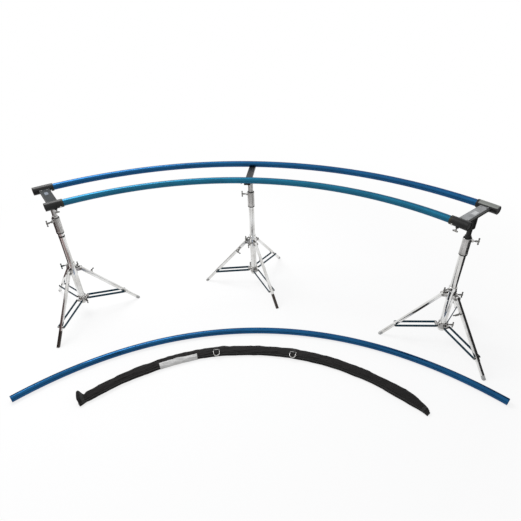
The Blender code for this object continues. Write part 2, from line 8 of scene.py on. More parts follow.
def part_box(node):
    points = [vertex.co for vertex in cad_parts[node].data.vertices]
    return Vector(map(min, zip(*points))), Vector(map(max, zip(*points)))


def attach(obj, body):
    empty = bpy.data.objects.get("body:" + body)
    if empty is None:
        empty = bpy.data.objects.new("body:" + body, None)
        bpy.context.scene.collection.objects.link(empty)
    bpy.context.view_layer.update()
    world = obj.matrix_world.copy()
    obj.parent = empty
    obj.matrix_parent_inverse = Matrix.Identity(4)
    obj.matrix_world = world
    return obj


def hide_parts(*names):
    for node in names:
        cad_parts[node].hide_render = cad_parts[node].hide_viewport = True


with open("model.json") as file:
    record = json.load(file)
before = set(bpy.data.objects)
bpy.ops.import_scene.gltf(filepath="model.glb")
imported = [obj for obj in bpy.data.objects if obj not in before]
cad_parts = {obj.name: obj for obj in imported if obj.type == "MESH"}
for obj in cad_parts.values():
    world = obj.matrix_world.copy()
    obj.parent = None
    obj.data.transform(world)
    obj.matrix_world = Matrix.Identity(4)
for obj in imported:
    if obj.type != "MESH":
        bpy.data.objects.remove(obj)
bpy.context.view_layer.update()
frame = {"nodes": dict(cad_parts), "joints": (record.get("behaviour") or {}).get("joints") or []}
joints = {joint["name"]: joint for joint in frame["joints"]}
sides = ("left", "middle", "right")
zAxis = Vector((0, 0, 1))
print("frame: %d nodes, %d joints" % (len(frame["nodes"]), len(joints)))

trackCollection = bpy.data.collections.new("curvedDollyTrack")
bpy.context.scene.collection.children.link(trackCollection)


# Shells: points with quads and triangles, all closed and facing outwards

def runningLength(steps):
    # distance covered so far, from 0
    return np.concatenate(([0.0], np.cumsum(steps)))


def ringAngles(count):
    # count angles that share out a full turn
    return np.arange(count) * 2 * math.pi / count


def gridShell(rows, loop=False, poles=(None, None)):
    # rows is R x C x 3, each row a closed ring. With loop the last row joins the first,
    # otherwise a fan closes each end. u and v are metres round the rings and along the rows
    rowCount, columnCount = rows.shape[:2]
    u = runningLength(np.linalg.norm(np.roll(rows, -1, axis=1) - rows, axis=2).max(axis=0))
    following = np.roll(rows, -1, axis=0) if loop else rows[1:]
    v = runningLength(np.linalg.norm(following - rows[:len(following)], axis=2).mean(axis=1))
    i, j = np.meshgrid(np.arange(len(following)), np.arange(columnCount), indexing="ij")
    i, j = i.ravel(), j.ravel()
    rowAfter, columnAfter = (i + 1) % rowCount, (j + 1) % columnCount
    quads = np.stack((
        i * columnCount + j, i * columnCount + columnAfter,
        rowAfter * columnCount + columnAfter, rowAfter * columnCount + j), axis=1)
    quadUv = np.stack((
        np.stack((u[j], v[i]), axis=1), np.stack((u[j + 1], v[i]), axis=1),
        np.stack((u[j + 1], v[i + 1]), axis=1), np.stack((u[j], v[i + 1]), axis=1)), axis=1)
    points = rows.reshape(-1, 3)
    triangles, triangleUv = [], []
    if not loop:
        ring = np.arange(columnCount)
        after = (ring + 1) % columnCount
        for end, pole in zip((0, rowCount - 1), poles):
            centre = rows[end].mean(axis=0) if pole is None else np.array(pole)
            tip = np.full(columnCount, len(points))
            points = np.concatenate((points, centre[None]))
            pair = (after, ring) if end == 0 else (ring, after)
            triangles.append(np.stack((pair[0] + end * columnCount, pair[1] + end * columnCount, tip), axis=1))
            fan = [np.stack((u[:-1] if side is ring else u[1:], np.full(columnCount, v[end and -1])), axis=1)
                   for side in pair]
            fan.append(fan[0] + np.array((0.0, np.linalg.norm(rows[end] - centre, axis=1).mean())))
            triangleUv.append(np.stack(fan, axis=1))
    triangles = np.concatenate(triangles) if triangles else np.empty((0, 3), dtype=int)
    triangleUv = np.concatenate(triangleUv) if triangleUv else np.empty((0, 3, 2))
    return outward(dict(points=points, quads=quads, quadUv=quadUv, triangles=triangles, triangleUv=triangleUv))


def outward(shell):
    # the closed shell's volume is the sum of a . (b x c) / 6 over its triangles: below 0 it is inside out
    points = shell["points"] - shell["points"].mean(axis=0)
    a, b, c, d = (points[shell["quads"][:, k]] for k in range(4))
    volume = (a * np.cross(b, c)).sum() + (a * np.cross(c, d)).sum()
    a, b, c = (points[shell["triangles"][:, k]] for k in range(3))
    volume += (a * np.cross(b, c)).sum()
    if volume < 0:
        for key in ("quads", "quadUv", "triangles", "triangleUv"):
            shell[key] = shell[key][:, ::-1]
    return shell


def moved(shell, matrix):
    # point' = turn . point + shift
    turn = np.array(matrix.to_3x3())
    return dict(shell, points=shell["points"] @ turn.T + np.array(matrix.translation))


def movedParts(parts, matrix):
    # the same for (shell, material) pairs
    return [(moved(shell, matrix), material) for shell, material in parts]


def makePiece(name, body, replaced, parts):
    # parts are (shell, material) pairs, joined into one mesh whose object sits at the origin
    materials = list({material.name: material for shell, material in parts}.values())
    points, faces, uvs, indices = [], [], [], []
    offset = 0
    for shell, material in parts:
        points.append(shell["points"])
        faces += (shell["quads"] + offset).tolist() + (shell["triangles"] + offset).tolist()
        uvs += [shell["quadUv"].reshape(-1), shell["triangleUv"].reshape(-1)]
        count = len(shell["quads"]) + len(shell["triangles"])
        indices.append(np.full(count, materials.index(material)))
        offset += len(shell["points"])
    mesh = bpy.data.meshes.new(name)
    mesh.from_pydata(np.concatenate(points).tolist(), [], faces)
    mesh.uv_layers.new(name="finish").data.foreach_set("uv", np.concatenate(uvs))
    for material in materials:
        mesh.materials.append(material)
    mesh.polygons.foreach_set("material_index", np.concatenate(indices))
    mesh.shade_smooth()
    mesh.set_sharp_from_angle(angle=math.radians(35))
    mesh.update()
    piece = bpy.data.objects.new(name, mesh)
    trackCollection.objects.link(piece)
    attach(piece, body)
    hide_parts(*replaced)
    return piece


def softCorners(corners, closed=True, steps=3):
    # corners are (a, b, rounding). A corner P becomes the curve (1-t)^2 S + 2t(1-t) P + t^2 E between
    # S and E, its rounding away on either edge, with a point on each flat side to keep it flat
    corners = [(np.array(corner[:2], dtype=float), corner[2] if len(corner) > 2 else 0.0) for corner in corners]
    profile = []
    t = np.linspace(0, 1, steps + 1)[:, None]
    for index, (corner, rounding) in enumerate(corners):
        atEnd = not closed and index in (0, len(corners) - 1)
        if rounding == 0 or atEnd:
            profile.append(corner[None])
            continue
        before = corners[index - 1][0] - corner
        after = corners[(index + 1) % len(corners)][0] - corner
        before, after = before / np.linalg.norm(before), after / np.linalg.norm(after)
        start, end = corner + before * rounding, corner + after * rounding
        profile.append((start + before * rounding / 2)[None])
        profile.append((1 - t) ** 2 * start + 2 * t * (1 - t) * corner + t ** 2 * end)
        profile.append((end + after * rounding / 2)[None])
    return np.concatenate(profile)


def turned(profile, count=32, closed=False):
    # the profile's (radius, height) points go round Z: x = r cos a, y = r sin a.
    # A closed profile makes a ring or a tube, an open one a solid whose ends lie on the axis
    profile = np.asarray(profile, dtype=float)
    poles = [None, None]
    if not closed:
        for end in (0, -1):
            if profile[end, 0] < 1e-9:
                poles[end] = (0.0, 0.0, profile[end, 1])
        profile = profile[1 if poles[0] else 0:len(profile) - 1 if poles[1] else len(profile)]
    angle = ringAngles(count)
    radius, height = profile[:, :1], profile[:, 1:]
    rows = np.stack((
        radius * np.cos(angle), radius * np.sin(angle), height + 0 * angle), axis=2)
    return gridShell(rows, closed, poles)


def turnedSolid(corners, count):
    # the corners run from the axis out, along and back to the axis
    return turned(softCorners(corners, closed=False), count)


def roundBar(low, high, radius, edge, count=24):
    # a round bar along Z with soft ends
    return turnedSolid(((0, low), (radius, low, edge), (radius, high, edge), (0, high)), count)


def roundedRing(halfX, halfY, corner, steps=3):
    # a rectangle with round corners: quarter circles, each with a point on the flat before and after it
    turnStep = np.linspace(0, math.pi / 2, steps + 1)
    flat = min(corner * 0.6, (halfX - corner) / 2, (halfY - corner) / 2)
    ring = []
    for quarter, (signX, signY) in enumerate(((1, 1), (-1, 1), (-1, -1), (1, -1))):
        angle = turnStep + quarter * math.pi / 2
        centre = np.array((signX * (halfX - corner), signY * (halfY - corner)))
        arc = centre + corner * np.stack((np.cos(angle), np.sin(angle)), axis=1)
        first, last = angle[0], angle[-1]
        before = arc[0] + flat * np.array((math.sin(first), -math.cos(first)))
        after = arc[-1] + flat * np.array((-math.sin(last), math.cos(last)))
        ring += [before[None], arc, after[None]]
    return np.concatenate(ring)


def stadiumRing(start, end, radius, steps=12):
    # two half circles round (start, 0) and (end, 0), joined by straight sides
    angle = np.linspace(-math.pi / 2, math.pi / 2, steps + 1)
    right = np.stack((end + radius * np.cos(angle), radius * np.sin(angle)), axis=1)
    left = np.stack((start - radius * np.cos(angle), -radius * np.sin(angle)), axis=1)
    return np.concatenate((right, left))


def carried(ring, low, high, edge, steps=3):
    # ring(inset) gives the outline as n x 2 points. It is carried along Z from low to high, and at
    # both ends it draws in along a quarter circle: inset = e (1 - sin t), height = e (1 - cos t)
    t = np.linspace(0, math.pi / 2, steps + 1)
    insets = np.concatenate(([1.6 * edge], edge * (1 - np.sin(t)), [0.0]))
    rises = np.concatenate(([0.0], edge * (1 - np.cos(t)), [1.6 * edge]))
    rows = [np.column_stack((ring(inset), np.full(len(ring(inset)), low + rise)))
            for inset, rise in zip(insets, rises)]
    rows += [np.column_stack((ring(inset), np.full(len(ring(inset)), high - rise)))
             for inset, rise in zip(insets[::-1], rises[::-1])]
    return gridShell(np.array(rows))


def softBox(low, high, corner, edge):
    # a box between two corners: its outline lies in XY and is carried along Z
    low, high = np.array(low, dtype=float), np.array(high, dtype=float)
    middle, half = (low + high) / 2, (high - low) / 2
    shell = carried(
        lambda inset: roundedRing(half[0] - inset, half[1] - inset, max(corner - inset, corner * 0.2)),
        low[2], high[2], edge)
    return moved(shell, Matrix.Translation((middle[0], middle[1], 0)))


def threadedRod(low, high, radius, pitch=0.0012, depth=0.0007, count=16):
    # a screw thread: r = radius - depth |saw(z / pitch - a / 2 pi)|, where saw runs from -1 to 1 each turn
    height = np.arange(low, high, pitch / 5)[:, None]
    angle = ringAngles(count)
    saw = 2 * ((height / pitch - angle / (2 * math.pi)) % 1) - 1
    near = np.minimum(height - low, high - height) / pitch
    reach = radius - depth * np.maximum(np.abs(saw), 1 - np.clip(near, 0, 1))
    rows = np.stack((reach * np.cos(angle), reach * np.sin(angle), height + 0 * angle), axis=2)
    return gridShell(rows)


def lengthened(profile, step):
    # adds points so that no edge of a closed profile is longer than step
    longer = []
    for start, end in zip(profile, np.roll(profile, -1, axis=0)):
        count = max(1, math.ceil(np.linalg.norm(end - start) / step))
        longer.append(start + (end - start) * (np.arange(count) / count)[:, None])
    return np.concatenate(longer)


def onCurve(curve, angle, side, up):
    # x = cx + (R + side) sin a, y = cy + (R + side) cos a, z = up
    radius = curve["radius"] + side
    x = curve["centre"][0] + radius * np.sin(angle)
    y = curve["centre"][1] + radius * np.cos(angle)
    return np.stack((x, y, up + 0 * x), axis=-1)


def bentPipe(curve, profile, count=40, step=0.014):
    # a closed profile of (distance along the curve, radius) goes round the curve itself:
    # a = distance / R, side = r cos b, up = height + r sin b
    profile = lengthened(np.asarray(profile, dtype=float), step)
    around = ringAngles(count)
    angle = profile[:, :1] / curve["radius"] + 0 * around
    side = profile[:, 1:] * np.cos(around)
    up = curve["height"] + profile[:, 1:] * np.sin(around)
    return gridShell(onCurve(curve, angle, side, up), loop=True)


def axisMatrix(origin, direction, across=None):
    # a frame whose Z runs along direction and whose X lies as near to across as it can
    z = Vector(direction).normalized()
    if across is None:
        across = (0, 0, 1) if abs(z.z) < 0.9 else (1, 0, 0)
    across = Vector(across)
    x = (across - z * across.dot(z)).normalized()
    turn = Matrix((x, z.cross(x), z)).transposed().to_4x4()
    return Matrix.Translation(origin) @ turn


# Measures taken from the frame

def nodePoints(name):
    # a CAD node's points, n x 3, in the shared frame
    mesh = frame["nodes"][name].data
    points = np.empty(len(mesh.vertices) * 3, dtype=np.float32)
    mesh.vertices.foreach_get("co", points)
    return points.reshape(-1, 3).astype(float)


def arcOf(name):
    # least squares of x^2 + y^2 = 2 cx x + 2 cy y + k gives the circle that a bent piece follows
    points = nodePoints(name)
    x, y, z = points.T
    solved = np.linalg.lstsq(np.column_stack((2 * x, 2 * y, np.ones(len(x)))), x ** 2 + y ** 2, rcond=None)[0]
    radius = math.sqrt(solved[2] + solved[0] ** 2 + solved[1] ** 2)
    angle = np.arctan2(x - solved[0], y - solved[1])
    return dict(centre=solved[:2], radius=radius, height=(z.min() + z.max()) / 2,
                start=angle.min(), end=angle.max())


outerCurve = arcOf("outer_rail")
innerCurve = arcOf("inner_rail")
looseCurve = arcOf("loose_rail")
bagCurve = arcOf("rail_bag")
trackCentre = (outerCurve["centre"] + innerCurve["centre"]) / 2
trackRadius = (outerCurve["radius"] + innerCurve["radius"]) / 2
railHeight = outerCurve["height"]
print("curves: outer %.3f, inner %.3f, loose %.3f, bag %.3f m" % tuple(
    curve["radius"] for curve in (outerCurve, innerCurve, looseCurve, bagCurve)))


# Materials

def newMaterial(name, colour, metallic, roughness, **others):
    # one Principled shader with its plain values set on its own sockets
    material = bpy.data.materials.new(name)
    material.use_nodes = True
    shader = material.node_tree.nodes["Principled BSDF"]
    shader.inputs["Base Color"].default_value = (*colour, 1.0)
    shader.inputs["Metallic"].default_value = metallic
    shader.inputs["Roughness"].default_value = roughness
    for label, value in others.items():
        shader.inputs[label.replace("_", " ")].default_value = value
    material.diffuse_color = (*colour, 1.0)
    return material


def node(material, kind, links=None, **values):
    # a node with its input values, and its links as input name = (node, output name)
    tree = material.node_tree
    made = tree.nodes.new(kind)
    for label, value in values.items():
        if label in made.inputs:
            made.inputs[label].default_value = value
        else:
            setattr(made, label, value)
    for label, (source, output) in (links or {}).items():
        tree.links.new(source.outputs[output], made.inputs[label])
    return made


def connect(material, source, output, label):
    # links a node's output to the material's shader
    shader = material.node_tree.nodes["Principled BSDF"]
    material.node_tree.links.new(source.outputs[output], shader.inputs[label])


def stretched(material, output="Object", scale=(1, 1, 1)):
    # the surface's own coordinates (Object or UV), stretched by scale
    coordinates = node(material, "ShaderNodeTexCoord")
    mapping = node(material, "ShaderNodeMapping", {"Vector": (coordinates, output)})
    mapping.inputs["Scale"].default_value = scale
    return mapping


def ramp(material, source, output, stops):
    # a colour ramp through (position, colour) stops
    made = node(material, "ShaderNodeValToRGB", {"Fac": (source, output)})
    elements = made.color_ramp.elements
    elements[0].position, elements[0].color = stops[0][0], (*stops[0][1], 1.0)
    elements[1].position, elements[1].color = stops[-1][0], (*stops[-1][1], 1.0)
    for position, colour in stops[1:-1]:
        element = elements.new(position)
        element.color = (*colour, 1.0)
    return made


def between(material, source, output, low, high, start=0.0, end=1.0):
    # maps a texture's values between start and end to values between low and high
    return node(material, "ShaderNodeMapRange", {"Value": (source, output)},
                **{"From Min": start, "From Max": end, "To Min": low, "To Max": high})


def bump(material, source, output, strength, distance, under=None):
    # relief from a texture, on top of the relief under it
    links = {"Height": (source, output)}
    if under:
        links["Normal"] = (under, "Normal")
    return node(material, "ShaderNodeBump", links, Strength=strength, Distance=distance)


def noise(material, mapping, scale, detail=4.0, roughness=0.55):
    # cloudy noise, whose patches are about 1 / scale wide
    return node(material, "ShaderNodeTexNoise", {"Vector": (mapping, "Vector")},
                Scale=scale, Detail=detail, Roughness=roughness)


def brushedMetal(name, dark, light, metallic, roughness, grain=0.12, **others):
    # drawn lines along the surface's v, uneven tone at hand's width, and faint scuffs
    material = newMaterial(name, light, metallic, sum(roughness) / 2, **others)
    lines = noise(material, stretched(material, "UV", (900, 9, 1)), 1.0, 3.0)
    patches = noise(material, stretched(material), 7.0, 5.0)
    tone = ramp(material, patches, "Fac", ((0.3, dark), (0.7, light)))
    connect(material, tone, "Color", "Base Color")
    smudges = noise(material, stretched(material), 38.0, 6.0, 0.65)
    connect(material, between(material, smudges, "Fac", *roughness), "Result", "Roughness")
    connect(material, bump(material, lines, "Fac", grain, 0.0002), "Normal", "Normal")
    return material


def plated(name, dark, light, roughness, ripple, **others):
    # chrome on a drawn tube: slow ripples, drawn lines and finger marks
    material = newMaterial(name, light, 1.0, sum(roughness) / 2, **others)
    patches = noise(material, stretched(material), 11.0, 5.0)
    connect(material, ramp(material, patches, "Fac", ((0.35, dark), (0.62, light))), "Color", "Base Color")
    marks = noise(material, stretched(material), 60.0, 7.0, 0.7)
    connect(material, between(material, marks, "Fac", *roughness), "Result", "Roughness")
    waves = noise(material, stretched(material, "UV", (60, 5, 1)), 1.0, 2.0)
    lines = noise(material, stretched(material, "UV", (1400, 30, 1)), 1.0, 2.0)
    under = bump(material, waves, "Fac", ripple, 0.0006)
    connect(material, bump(material, lines, "Fac", 0.05, 0.0001, under), "Normal", "Normal")
    return material


def grainy(name, dark, light, metallic, roughness, grain, strength, **others):
    # a cast, blasted or moulded surface: fine even grain over uneven tone
    material = newMaterial(name, light, metallic, sum(roughness) / 2, **others)
    patches = noise(material, stretched(material), 22.0, 6.0)
    connect(material, ramp(material, patches, "Fac", ((0.3, dark), (0.7, light))), "Color", "Base Color")
    connect(material, between(material, patches, "Fac", *roughness), "Result", "Roughness")
    pits = noise(material, stretched(material), grain, 3.0)
    connect(material, bump(material, pits, "Fac", strength, 0.0003), "Normal", "Normal")
    return material


def paintedTopHighlight(name, below, above, low, high):
    # black below, with a light grey painted highlight on top: the colour changes with the height, and noise
    # roughens the line
    material = newMaterial(name, above, 0.4, 0.4)
    place = node(material, "ShaderNodeSeparateXYZ", {"Vector": (stretched(material), "Vector")})
    patchNoise = noise(material, stretched(material), 90.0, 5.0)
    shifted = node(material, "ShaderNodeMath", {0: (patchNoise, "Fac"), 2: (place, "Z")}, operation="MULTIPLY_ADD")
    shifted.inputs[1].default_value = 0.008
    mask = between(material, shifted, "Value", 0.0, 1.0, low, high)
    connect(material, ramp(material, mask, "Result", ((0.0, below), (1.0, above))), "Color", "Base Color")
    connect(material, between(material, patchNoise, "Fac", 0.28, 0.46), "Result", "Roughness")
    grain = noise(material, stretched(material), 800.0, 3.0)
    connect(material, bump(material, grain, "Fac", 0.25, 0.0003), "Normal", "Normal")
    return material


def woven(name, dark, light, pitch, strength, **others):
    # over and under: sin(2 pi u / pitch) times sin(2 pi v / pitch), with worn and dusty patches
    material = newMaterial(name, light, 0.0, 0.85, **others)
    repeat = 2 * math.pi / pitch
    mapping = stretched(material, "UV", (repeat, repeat, 1))
    split = node(material, "ShaderNodeSeparateXYZ", {"Vector": (mapping, "Vector")})
    waves = [node(material, "ShaderNodeMath", {"Value": (split, axis)}, operation="SINE") for axis in ("X", "Y")]
    weave = node(material, "ShaderNodeMath", {0: (waves[0], "Value"), 1: (waves[1], "Value")}, operation="MULTIPLY")
    patchNoise = noise(material, stretched(material), 14.0, 7.0, 0.65)
    connect(material, ramp(material, patchNoise, "Fac", ((0.35, dark), (0.68, light))), "Color", "Base Color")
    connect(material, between(material, patchNoise, "Fac", 0.7, 0.95), "Result", "Roughness")
    creases = noise(material, stretched(material, "UV", (90, 26, 1)), 1.0, 5.0)
    under = bump(material, creases, "Fac", 0.5, 0.002)
    connect(material, bump(material, weave, "Value", strength, 0.0002, under), "Normal", "Normal")
    return material


railBlue = brushedMetal("railBlue", (0.002, 0.058, 0.155), (0.004, 0.080, 0.205), 0.88, (0.26, 0.4),
                        Coat_Weight=0.26, Coat_Roughness=0.22, Specular_Tint=(0.1, 0.3, 0.55, 1.0))
railTeal = brushedMetal("railTeal", (0.001, 0.090, 0.170), (0.003, 0.124, 0.220), 0.88, (0.26, 0.4),
                        Coat_Weight=0.36, Coat_Roughness=0.24, Specular_Tint=(0.1, 0.35, 0.5, 1.0))
braceBlue = brushedMetal("braceBlue", (0.002, 0.024, 0.042), (0.004, 0.038, 0.062), 0.45, (0.36, 0.5),
                         Specular_IOR_Level=0.2)
chrome = plated("chrome", (0.58, 0.57, 0.55), (0.78, 0.78, 0.77), (0.06, 0.17), 0.35)
castChrome = plated("castChrome", (0.30, 0.295, 0.285), (0.52, 0.51, 0.50), (0.16, 0.34), 0.9)
zincSteel = plated("zincSteel", (0.11, 0.107, 0.10), (0.26, 0.255, 0.245), (0.2, 0.4), 0.3)
bracketBlack = grainy("bracketBlack", (0.008, 0.008, 0.008), (0.020, 0.020, 0.0195), 0.2, (0.3, 0.46), 900.0, 0.3,
                      Specular_IOR_Level=0.3)
plateSlate = grainy("plateSlate", (0.008, 0.011, 0.012), (0.018, 0.022, 0.024), 0.3, (0.36, 0.5), 700.0, 0.3,
                    Specular_IOR_Level=0.15)
panelSlate = grainy("panelSlate", (0.09, 0.105, 0.13), (0.15, 0.175, 0.21), 0.5, (0.28, 0.42), 700.0, 0.2)
# light grey for the right plate's top, a painted highlight
platePaintedHighlight = grainy("platePaintedHighlight", (0.20, 0.205, 0.21), (0.40, 0.41, 0.42), 0.6, (0.3, 0.5), 260.0, 0.6)
labelSilver = brushedMetal("labelSilver", (0.48, 0.49, 0.5), (0.58, 0.59, 0.6), 0.6, (0.3, 0.4))
# the right outer socket is black, its top painted light grey as a highlight
socketPaintedHighlight = paintedTopHighlight("socketPaintedHighlight", (0.008, 0.008, 0.008), (0.21, 0.22, 0.205), 0.972, 0.976)
oliveBronze = grainy("oliveBronze", (0.018, 0.018, 0.011), (0.036, 0.034, 0.023), 0.2, (0.35, 0.5), 500.0, 0.2,
                     Specular_IOR_Level=0.3)
greenDip = grainy("greenDip", (0.002, 0.012, 0.010), (0.005, 0.026, 0.022), 0.0, (0.4, 0.6), 300.0, 0.3)
blackRubber = grainy("blackRubber", (0.012, 0.012, 0.012), (0.028, 0.028, 0.028), 0.0, (0.55, 0.8), 400.0, 0.35)
footGrey = grainy("footGrey", (0.42, 0.42, 0.41), (0.58, 0.58, 0.57), 0.0, (0.5, 0.7), 300.0, 0.35)
footBrown = grainy("footBrown", (0.030, 0.022, 0.018), (0.062, 0.048, 0.040), 0.5, (0.3, 0.5), 300.0, 0.35)
bagNylon = woven("bagNylon", (0.0048, 0.0042, 0.0042), (0.0135, 0.012, 0.012), 0.0016, 0.5,
                 Specular_IOR_Level=0.3, Sheen_Weight=0.06, Sheen_Roughness=0.4)
webbing = woven("webbing", (0.008, 0.008, 0.008), (0.018, 0.018, 0.018), 0.0022, 0.9,
                Sheen_Weight=0.2, Sheen_Roughness=0.4)
labelCloth = woven("labelCloth", (0.60, 0.60, 0.59), (0.74, 0.74, 0.73), 0.0012, 0.25)
print("materials:", len(bpy.data.materials))


# Rails

rail = dict(radius=0.02108, wall=0.0032, edge=0.0009)
clear = 0.0003  # the air between pieces that move on each other


def makeRail(name, body, replaced, curve, material):
    # the profile runs out along the outside and back through the bore
    start, end = curve["start"] * curve["radius"], curve["end"] * curve["radius"]
    outside, bore, edge = rail["radius"], rail["radius"] - rail["wall"], rail["edge"]
    profile = softCorners((
        (start, outside, edge), (end, outside, edge), (end, bore, edge / 2), (start, bore, edge / 2)))
    makePiece(name, body, (replaced,), [(bentPipe(curve, profile, 48), material)])


makeRail("outerRail", "track", "outer_rail", outerCurve, railBlue)
makeRail("innerRail", "track", "inner_rail", innerCurve, railTeal)
makeRail("looseRail", "loose_rail", "loose_rail", looseCurve, railBlue)
print("rails done")


# T-handles, on the stands and under the brackets

standHandle = dict(screw=0.004, knuckle=0.0060, knuckleLength=0.0187, behind=0.0048, ball=0.0048, waist=0.0033)
clampHandle = dict(standHandle, knuckleLength=0.0107)


def screwMeasures(joint, nodeName):
    # the screw's frame: Z out along its axis, X along its crossbar, which is the widest direction across
    origin, axis = Vector(joints[joint]["pos_m"]), Vector(joints[joint]["axis"])
    points = nodePoints(nodeName) - np.array(origin)
    along = points @ np.array(axis)
    if abs(along.min()) > along.max():
        axis = -axis
        along = -along
    across = points - along[:, None] * np.array(axis)
    widest = np.linalg.svd(across[along > along.max() - 0.01], full_matrices=False)[2][0]
    return axisMatrix(origin, axis, widest), along.min(), along.max(), np.abs(across @ widest).max()


def crossbar(half, size):
    # a bar with a ball at each end: the balls' corners round off over most of their radius
    ball, waist = size["ball"], size["waist"]
    soft, neckAt = ball * 0.8, half - ball * 2.3
    bar = turnedSolid((
        (0, -half), (ball, -half, soft), (ball, -neckAt, soft), (waist, -neckAt, 0.0006),
        (waist, neckAt, 0.0006), (ball, neckAt, soft), (ball, half, soft), (0, half)), 20)
    return moved(bar, Matrix.Rotation(math.pi / 2, 4, "Y"))


def makeTHandle(name, nodeName, joint, size, material):
    # a threaded rod, a round knuckle on its outer end and the crossbar through the knuckle
    matrix, tip, end, half = screwMeasures(joint, nodeName)
    middle = end - size["behind"]
    knuckleStart = middle - size["knuckleLength"]
    knuckle = turnedSolid((
        (0, knuckleStart), (size["knuckle"] * 0.8, knuckleStart, 0.0006),
        (size["knuckle"], knuckleStart + 0.003, 0.001), (size["knuckle"], end, 0.0014), (0, end)), 24)
    parts = [
        (threadedRod(tip, knuckleStart + 0.001, size["screw"]), zincSteel),
        (knuckle, material),
        (moved(crossbar(half, size), Matrix.Translation((0, 0, middle))), material),
    ]
    makePiece(name, nodeName, (nodeName,), movedParts(parts, matrix))


for side in sides:
    for label in ("receiver", "riser", "hub", "level", "collar"):
        finish = greenDip if (side, label) == ("left", "riser") else zincSteel
        makeTHandle(f"{side}{label.title()}Handle", f"{side}_{label}_handle", f"{side}_{label}_screw",
                    standHandle, finish)
for side in ("left", "right"):
    for label in ("inner", "outer"):
        makeTHandle(f"{side}{label.title()}Clamp", f"{side}_{label}_clamp", f"{side}_{label}_clamp_screw",
                    clampHandle, zincSteel)
makeTHandle("middleClamp", "middle_clamp", "middle_clamp_screw", clampHandle, zincSteel)
print("T-handles done")


# Brackets

socket = dict(
    radius=0.02608, bore=0.02138, halfLength=0.059, edge=0.0016, ring=0.013, ringInset=0.0004,
    groove=0.0008, grooveWidth=0.0012, plug=0.0035, plugLength=0.006)
endPlate = dict(
    width=0.064, thickness=0.012, rise=0.008, rib=0.006, ribHeight=0.0016, corner=0.003,
    screwRadius=0.0042, screwHeight=0.0012, screwsAcross=(-0.018, 0.016), screwsAlong=(-0.105, 0.105))
neck = dict(
    radius=0.024, chamfer=0.004, chamferHeight=0.005, flare=0.003, flareHeight=0.010, foot=0.868, seat=0.8063,
    shoulder=0.820, shoulderRadius=0.0184, pin=0.01429, pinFoot=0.740)
clampBoss = dict(radius=0.0085, height=0.007)
setScrew = dict(radius=0.0062, height=0.0055, fromMouth=0.022, lean=62.0)
railEndPin = dict(back=0.018, sunk=0.004, height=0.004, radius=0.0022)
bridge = dict(
    width=0.044, thickness=0.018, groove=0.006, innerEnd=0.004, outerEnd=0.018, bossEnd=0.029,
    screwRadius=0.0038, screwHeight=0.0012, screwsAcross=(-0.012, 0.012), screwsAlong=(-0.085, 0.02, 0.085))


def bracketPlace(side):
    # origin over the stand, X along the track, Y outwards from the curve's centre
    axis = joints[f"{side}_swivel"]["pos_m"]
    angle = math.atan2(axis[0] - trackCentre[0], axis[1] - trackCentre[1])
    centre = Vector((
        trackCentre[0] + trackRadius * math.sin(angle), trackCentre[1] + trackRadius * math.cos(angle), 0))
    return Matrix.Translation(centre) @ Matrix.Rotation(-angle, 4, "Z"), angle


def makeSocket(curve, angle, direction, bodyMaterial, ringMaterial):
    # the socket bends with its rail. Its mouth has a ring, its far end a plug inside
    half = socket["halfLength"] * curve["radius"] / trackRadius
    centre = angle * curve["radius"]
    mouth, back = centre + direction * half, centre - direction * half
    ringStart = mouth - direction * socket["ring"]
    outside, bore, edge = socket["radius"], socket["bore"], socket["edge"]
    low = outside - socket["groove"]
    grooveEnd = ringStart - direction * socket["grooveWidth"]
    body = softCorners((
        (back, outside, edge), (grooveEnd, outside, edge / 3), (grooveEnd, low), (ringStart, low),
        (ringStart, bore), (back, bore, edge / 2)))
    ring = softCorners((
        (ringStart, outside - socket["ringInset"], edge / 3), (mouth, outside - socket["ringInset"], edge),
        (mouth, bore, edge / 2), (ringStart, bore)))
    plugFace = back + direction * socket["plug"]
    plugBack = plugFace + direction * socket["plugLength"]
    cup = softCorners((
        (plugFace, bore + 0.0002), (plugBack, bore + 0.0002), (plugBack, 0.001), (plugFace, 0.001)))
    return [
        (bentPipe(curve, body, 48), bodyMaterial), (bentPipe(curve, ring, 48), ringMaterial),
        (bentPipe(curve, cup, 32), blackRubber)]


def screwBoss(joint, start, end, radius):
    # a boss for a screw, flared where it meets the wall, with a shallow hole in its face
    matrix = axisMatrix(Vector(joints[joint]["pos_m"]), Vector(joints[joint]["axis"]))
    shell = turnedSolid((
        (0, start), (radius + 0.0012, start), (radius, start + 0.004, 0.001), (radius, end, 0.001),
        (0.0046, end, 0.0004), (0.0042, end - 0.001), (0, end - 0.001)), 28)
    return moved(shell, matrix)


def capScrew(radius, height, recess=0.55):
    # a round screw head with a round recess that reaches down to 0.45 of its height
    return turnedSolid((
        (0, 0), (radius, 0), (radius, height, radius * 0.18), (radius * recess, height, radius * 0.04),
        (radius * recess * 0.98, height * 0.45), (0, height * 0.45)), 24)


def capScrews(plate, top):
    # rows of screw heads in a plate's upper face
    head = capScrew(plate["screwRadius"], plate["screwHeight"])
    return [(moved(head, Matrix.Translation((x, y, top))), zincSteel)
            for x in plate["screwsAcross"] for y in plate["screwsAlong"]]


def makeSpigot(top, shoulderTop):
    # the neck under the plate, the shoulder on the casting and the pin inside it
    pin, shoulder = neck["pin"], neck["shoulderRadius"]
    return turnedSolid((
        (0, neck["pinFoot"]), (pin, neck["pinFoot"], 0.0015), (pin, neck["seat"]), (shoulder, neck["seat"], 0.0008),
        (shoulder, shoulderTop, 0.0012), (pin, shoulderTop + 0.001, 0.0006), (pin, top), (0, top)), 40)


def makeNeck(top):
    # the round block under a plate: chamfered at its foot, flared where it meets the plate
    low, radius = neck["foot"], neck["radius"]
    return turnedSolid((
        (0, low), (radius - neck["chamfer"], low, 0.0008), (radius, low + neck["chamferHeight"], 0.0016),
        (radius, top - neck["flareHeight"], 0.002), (radius + neck["flare"], top, 0.001), (0, top)), 40)
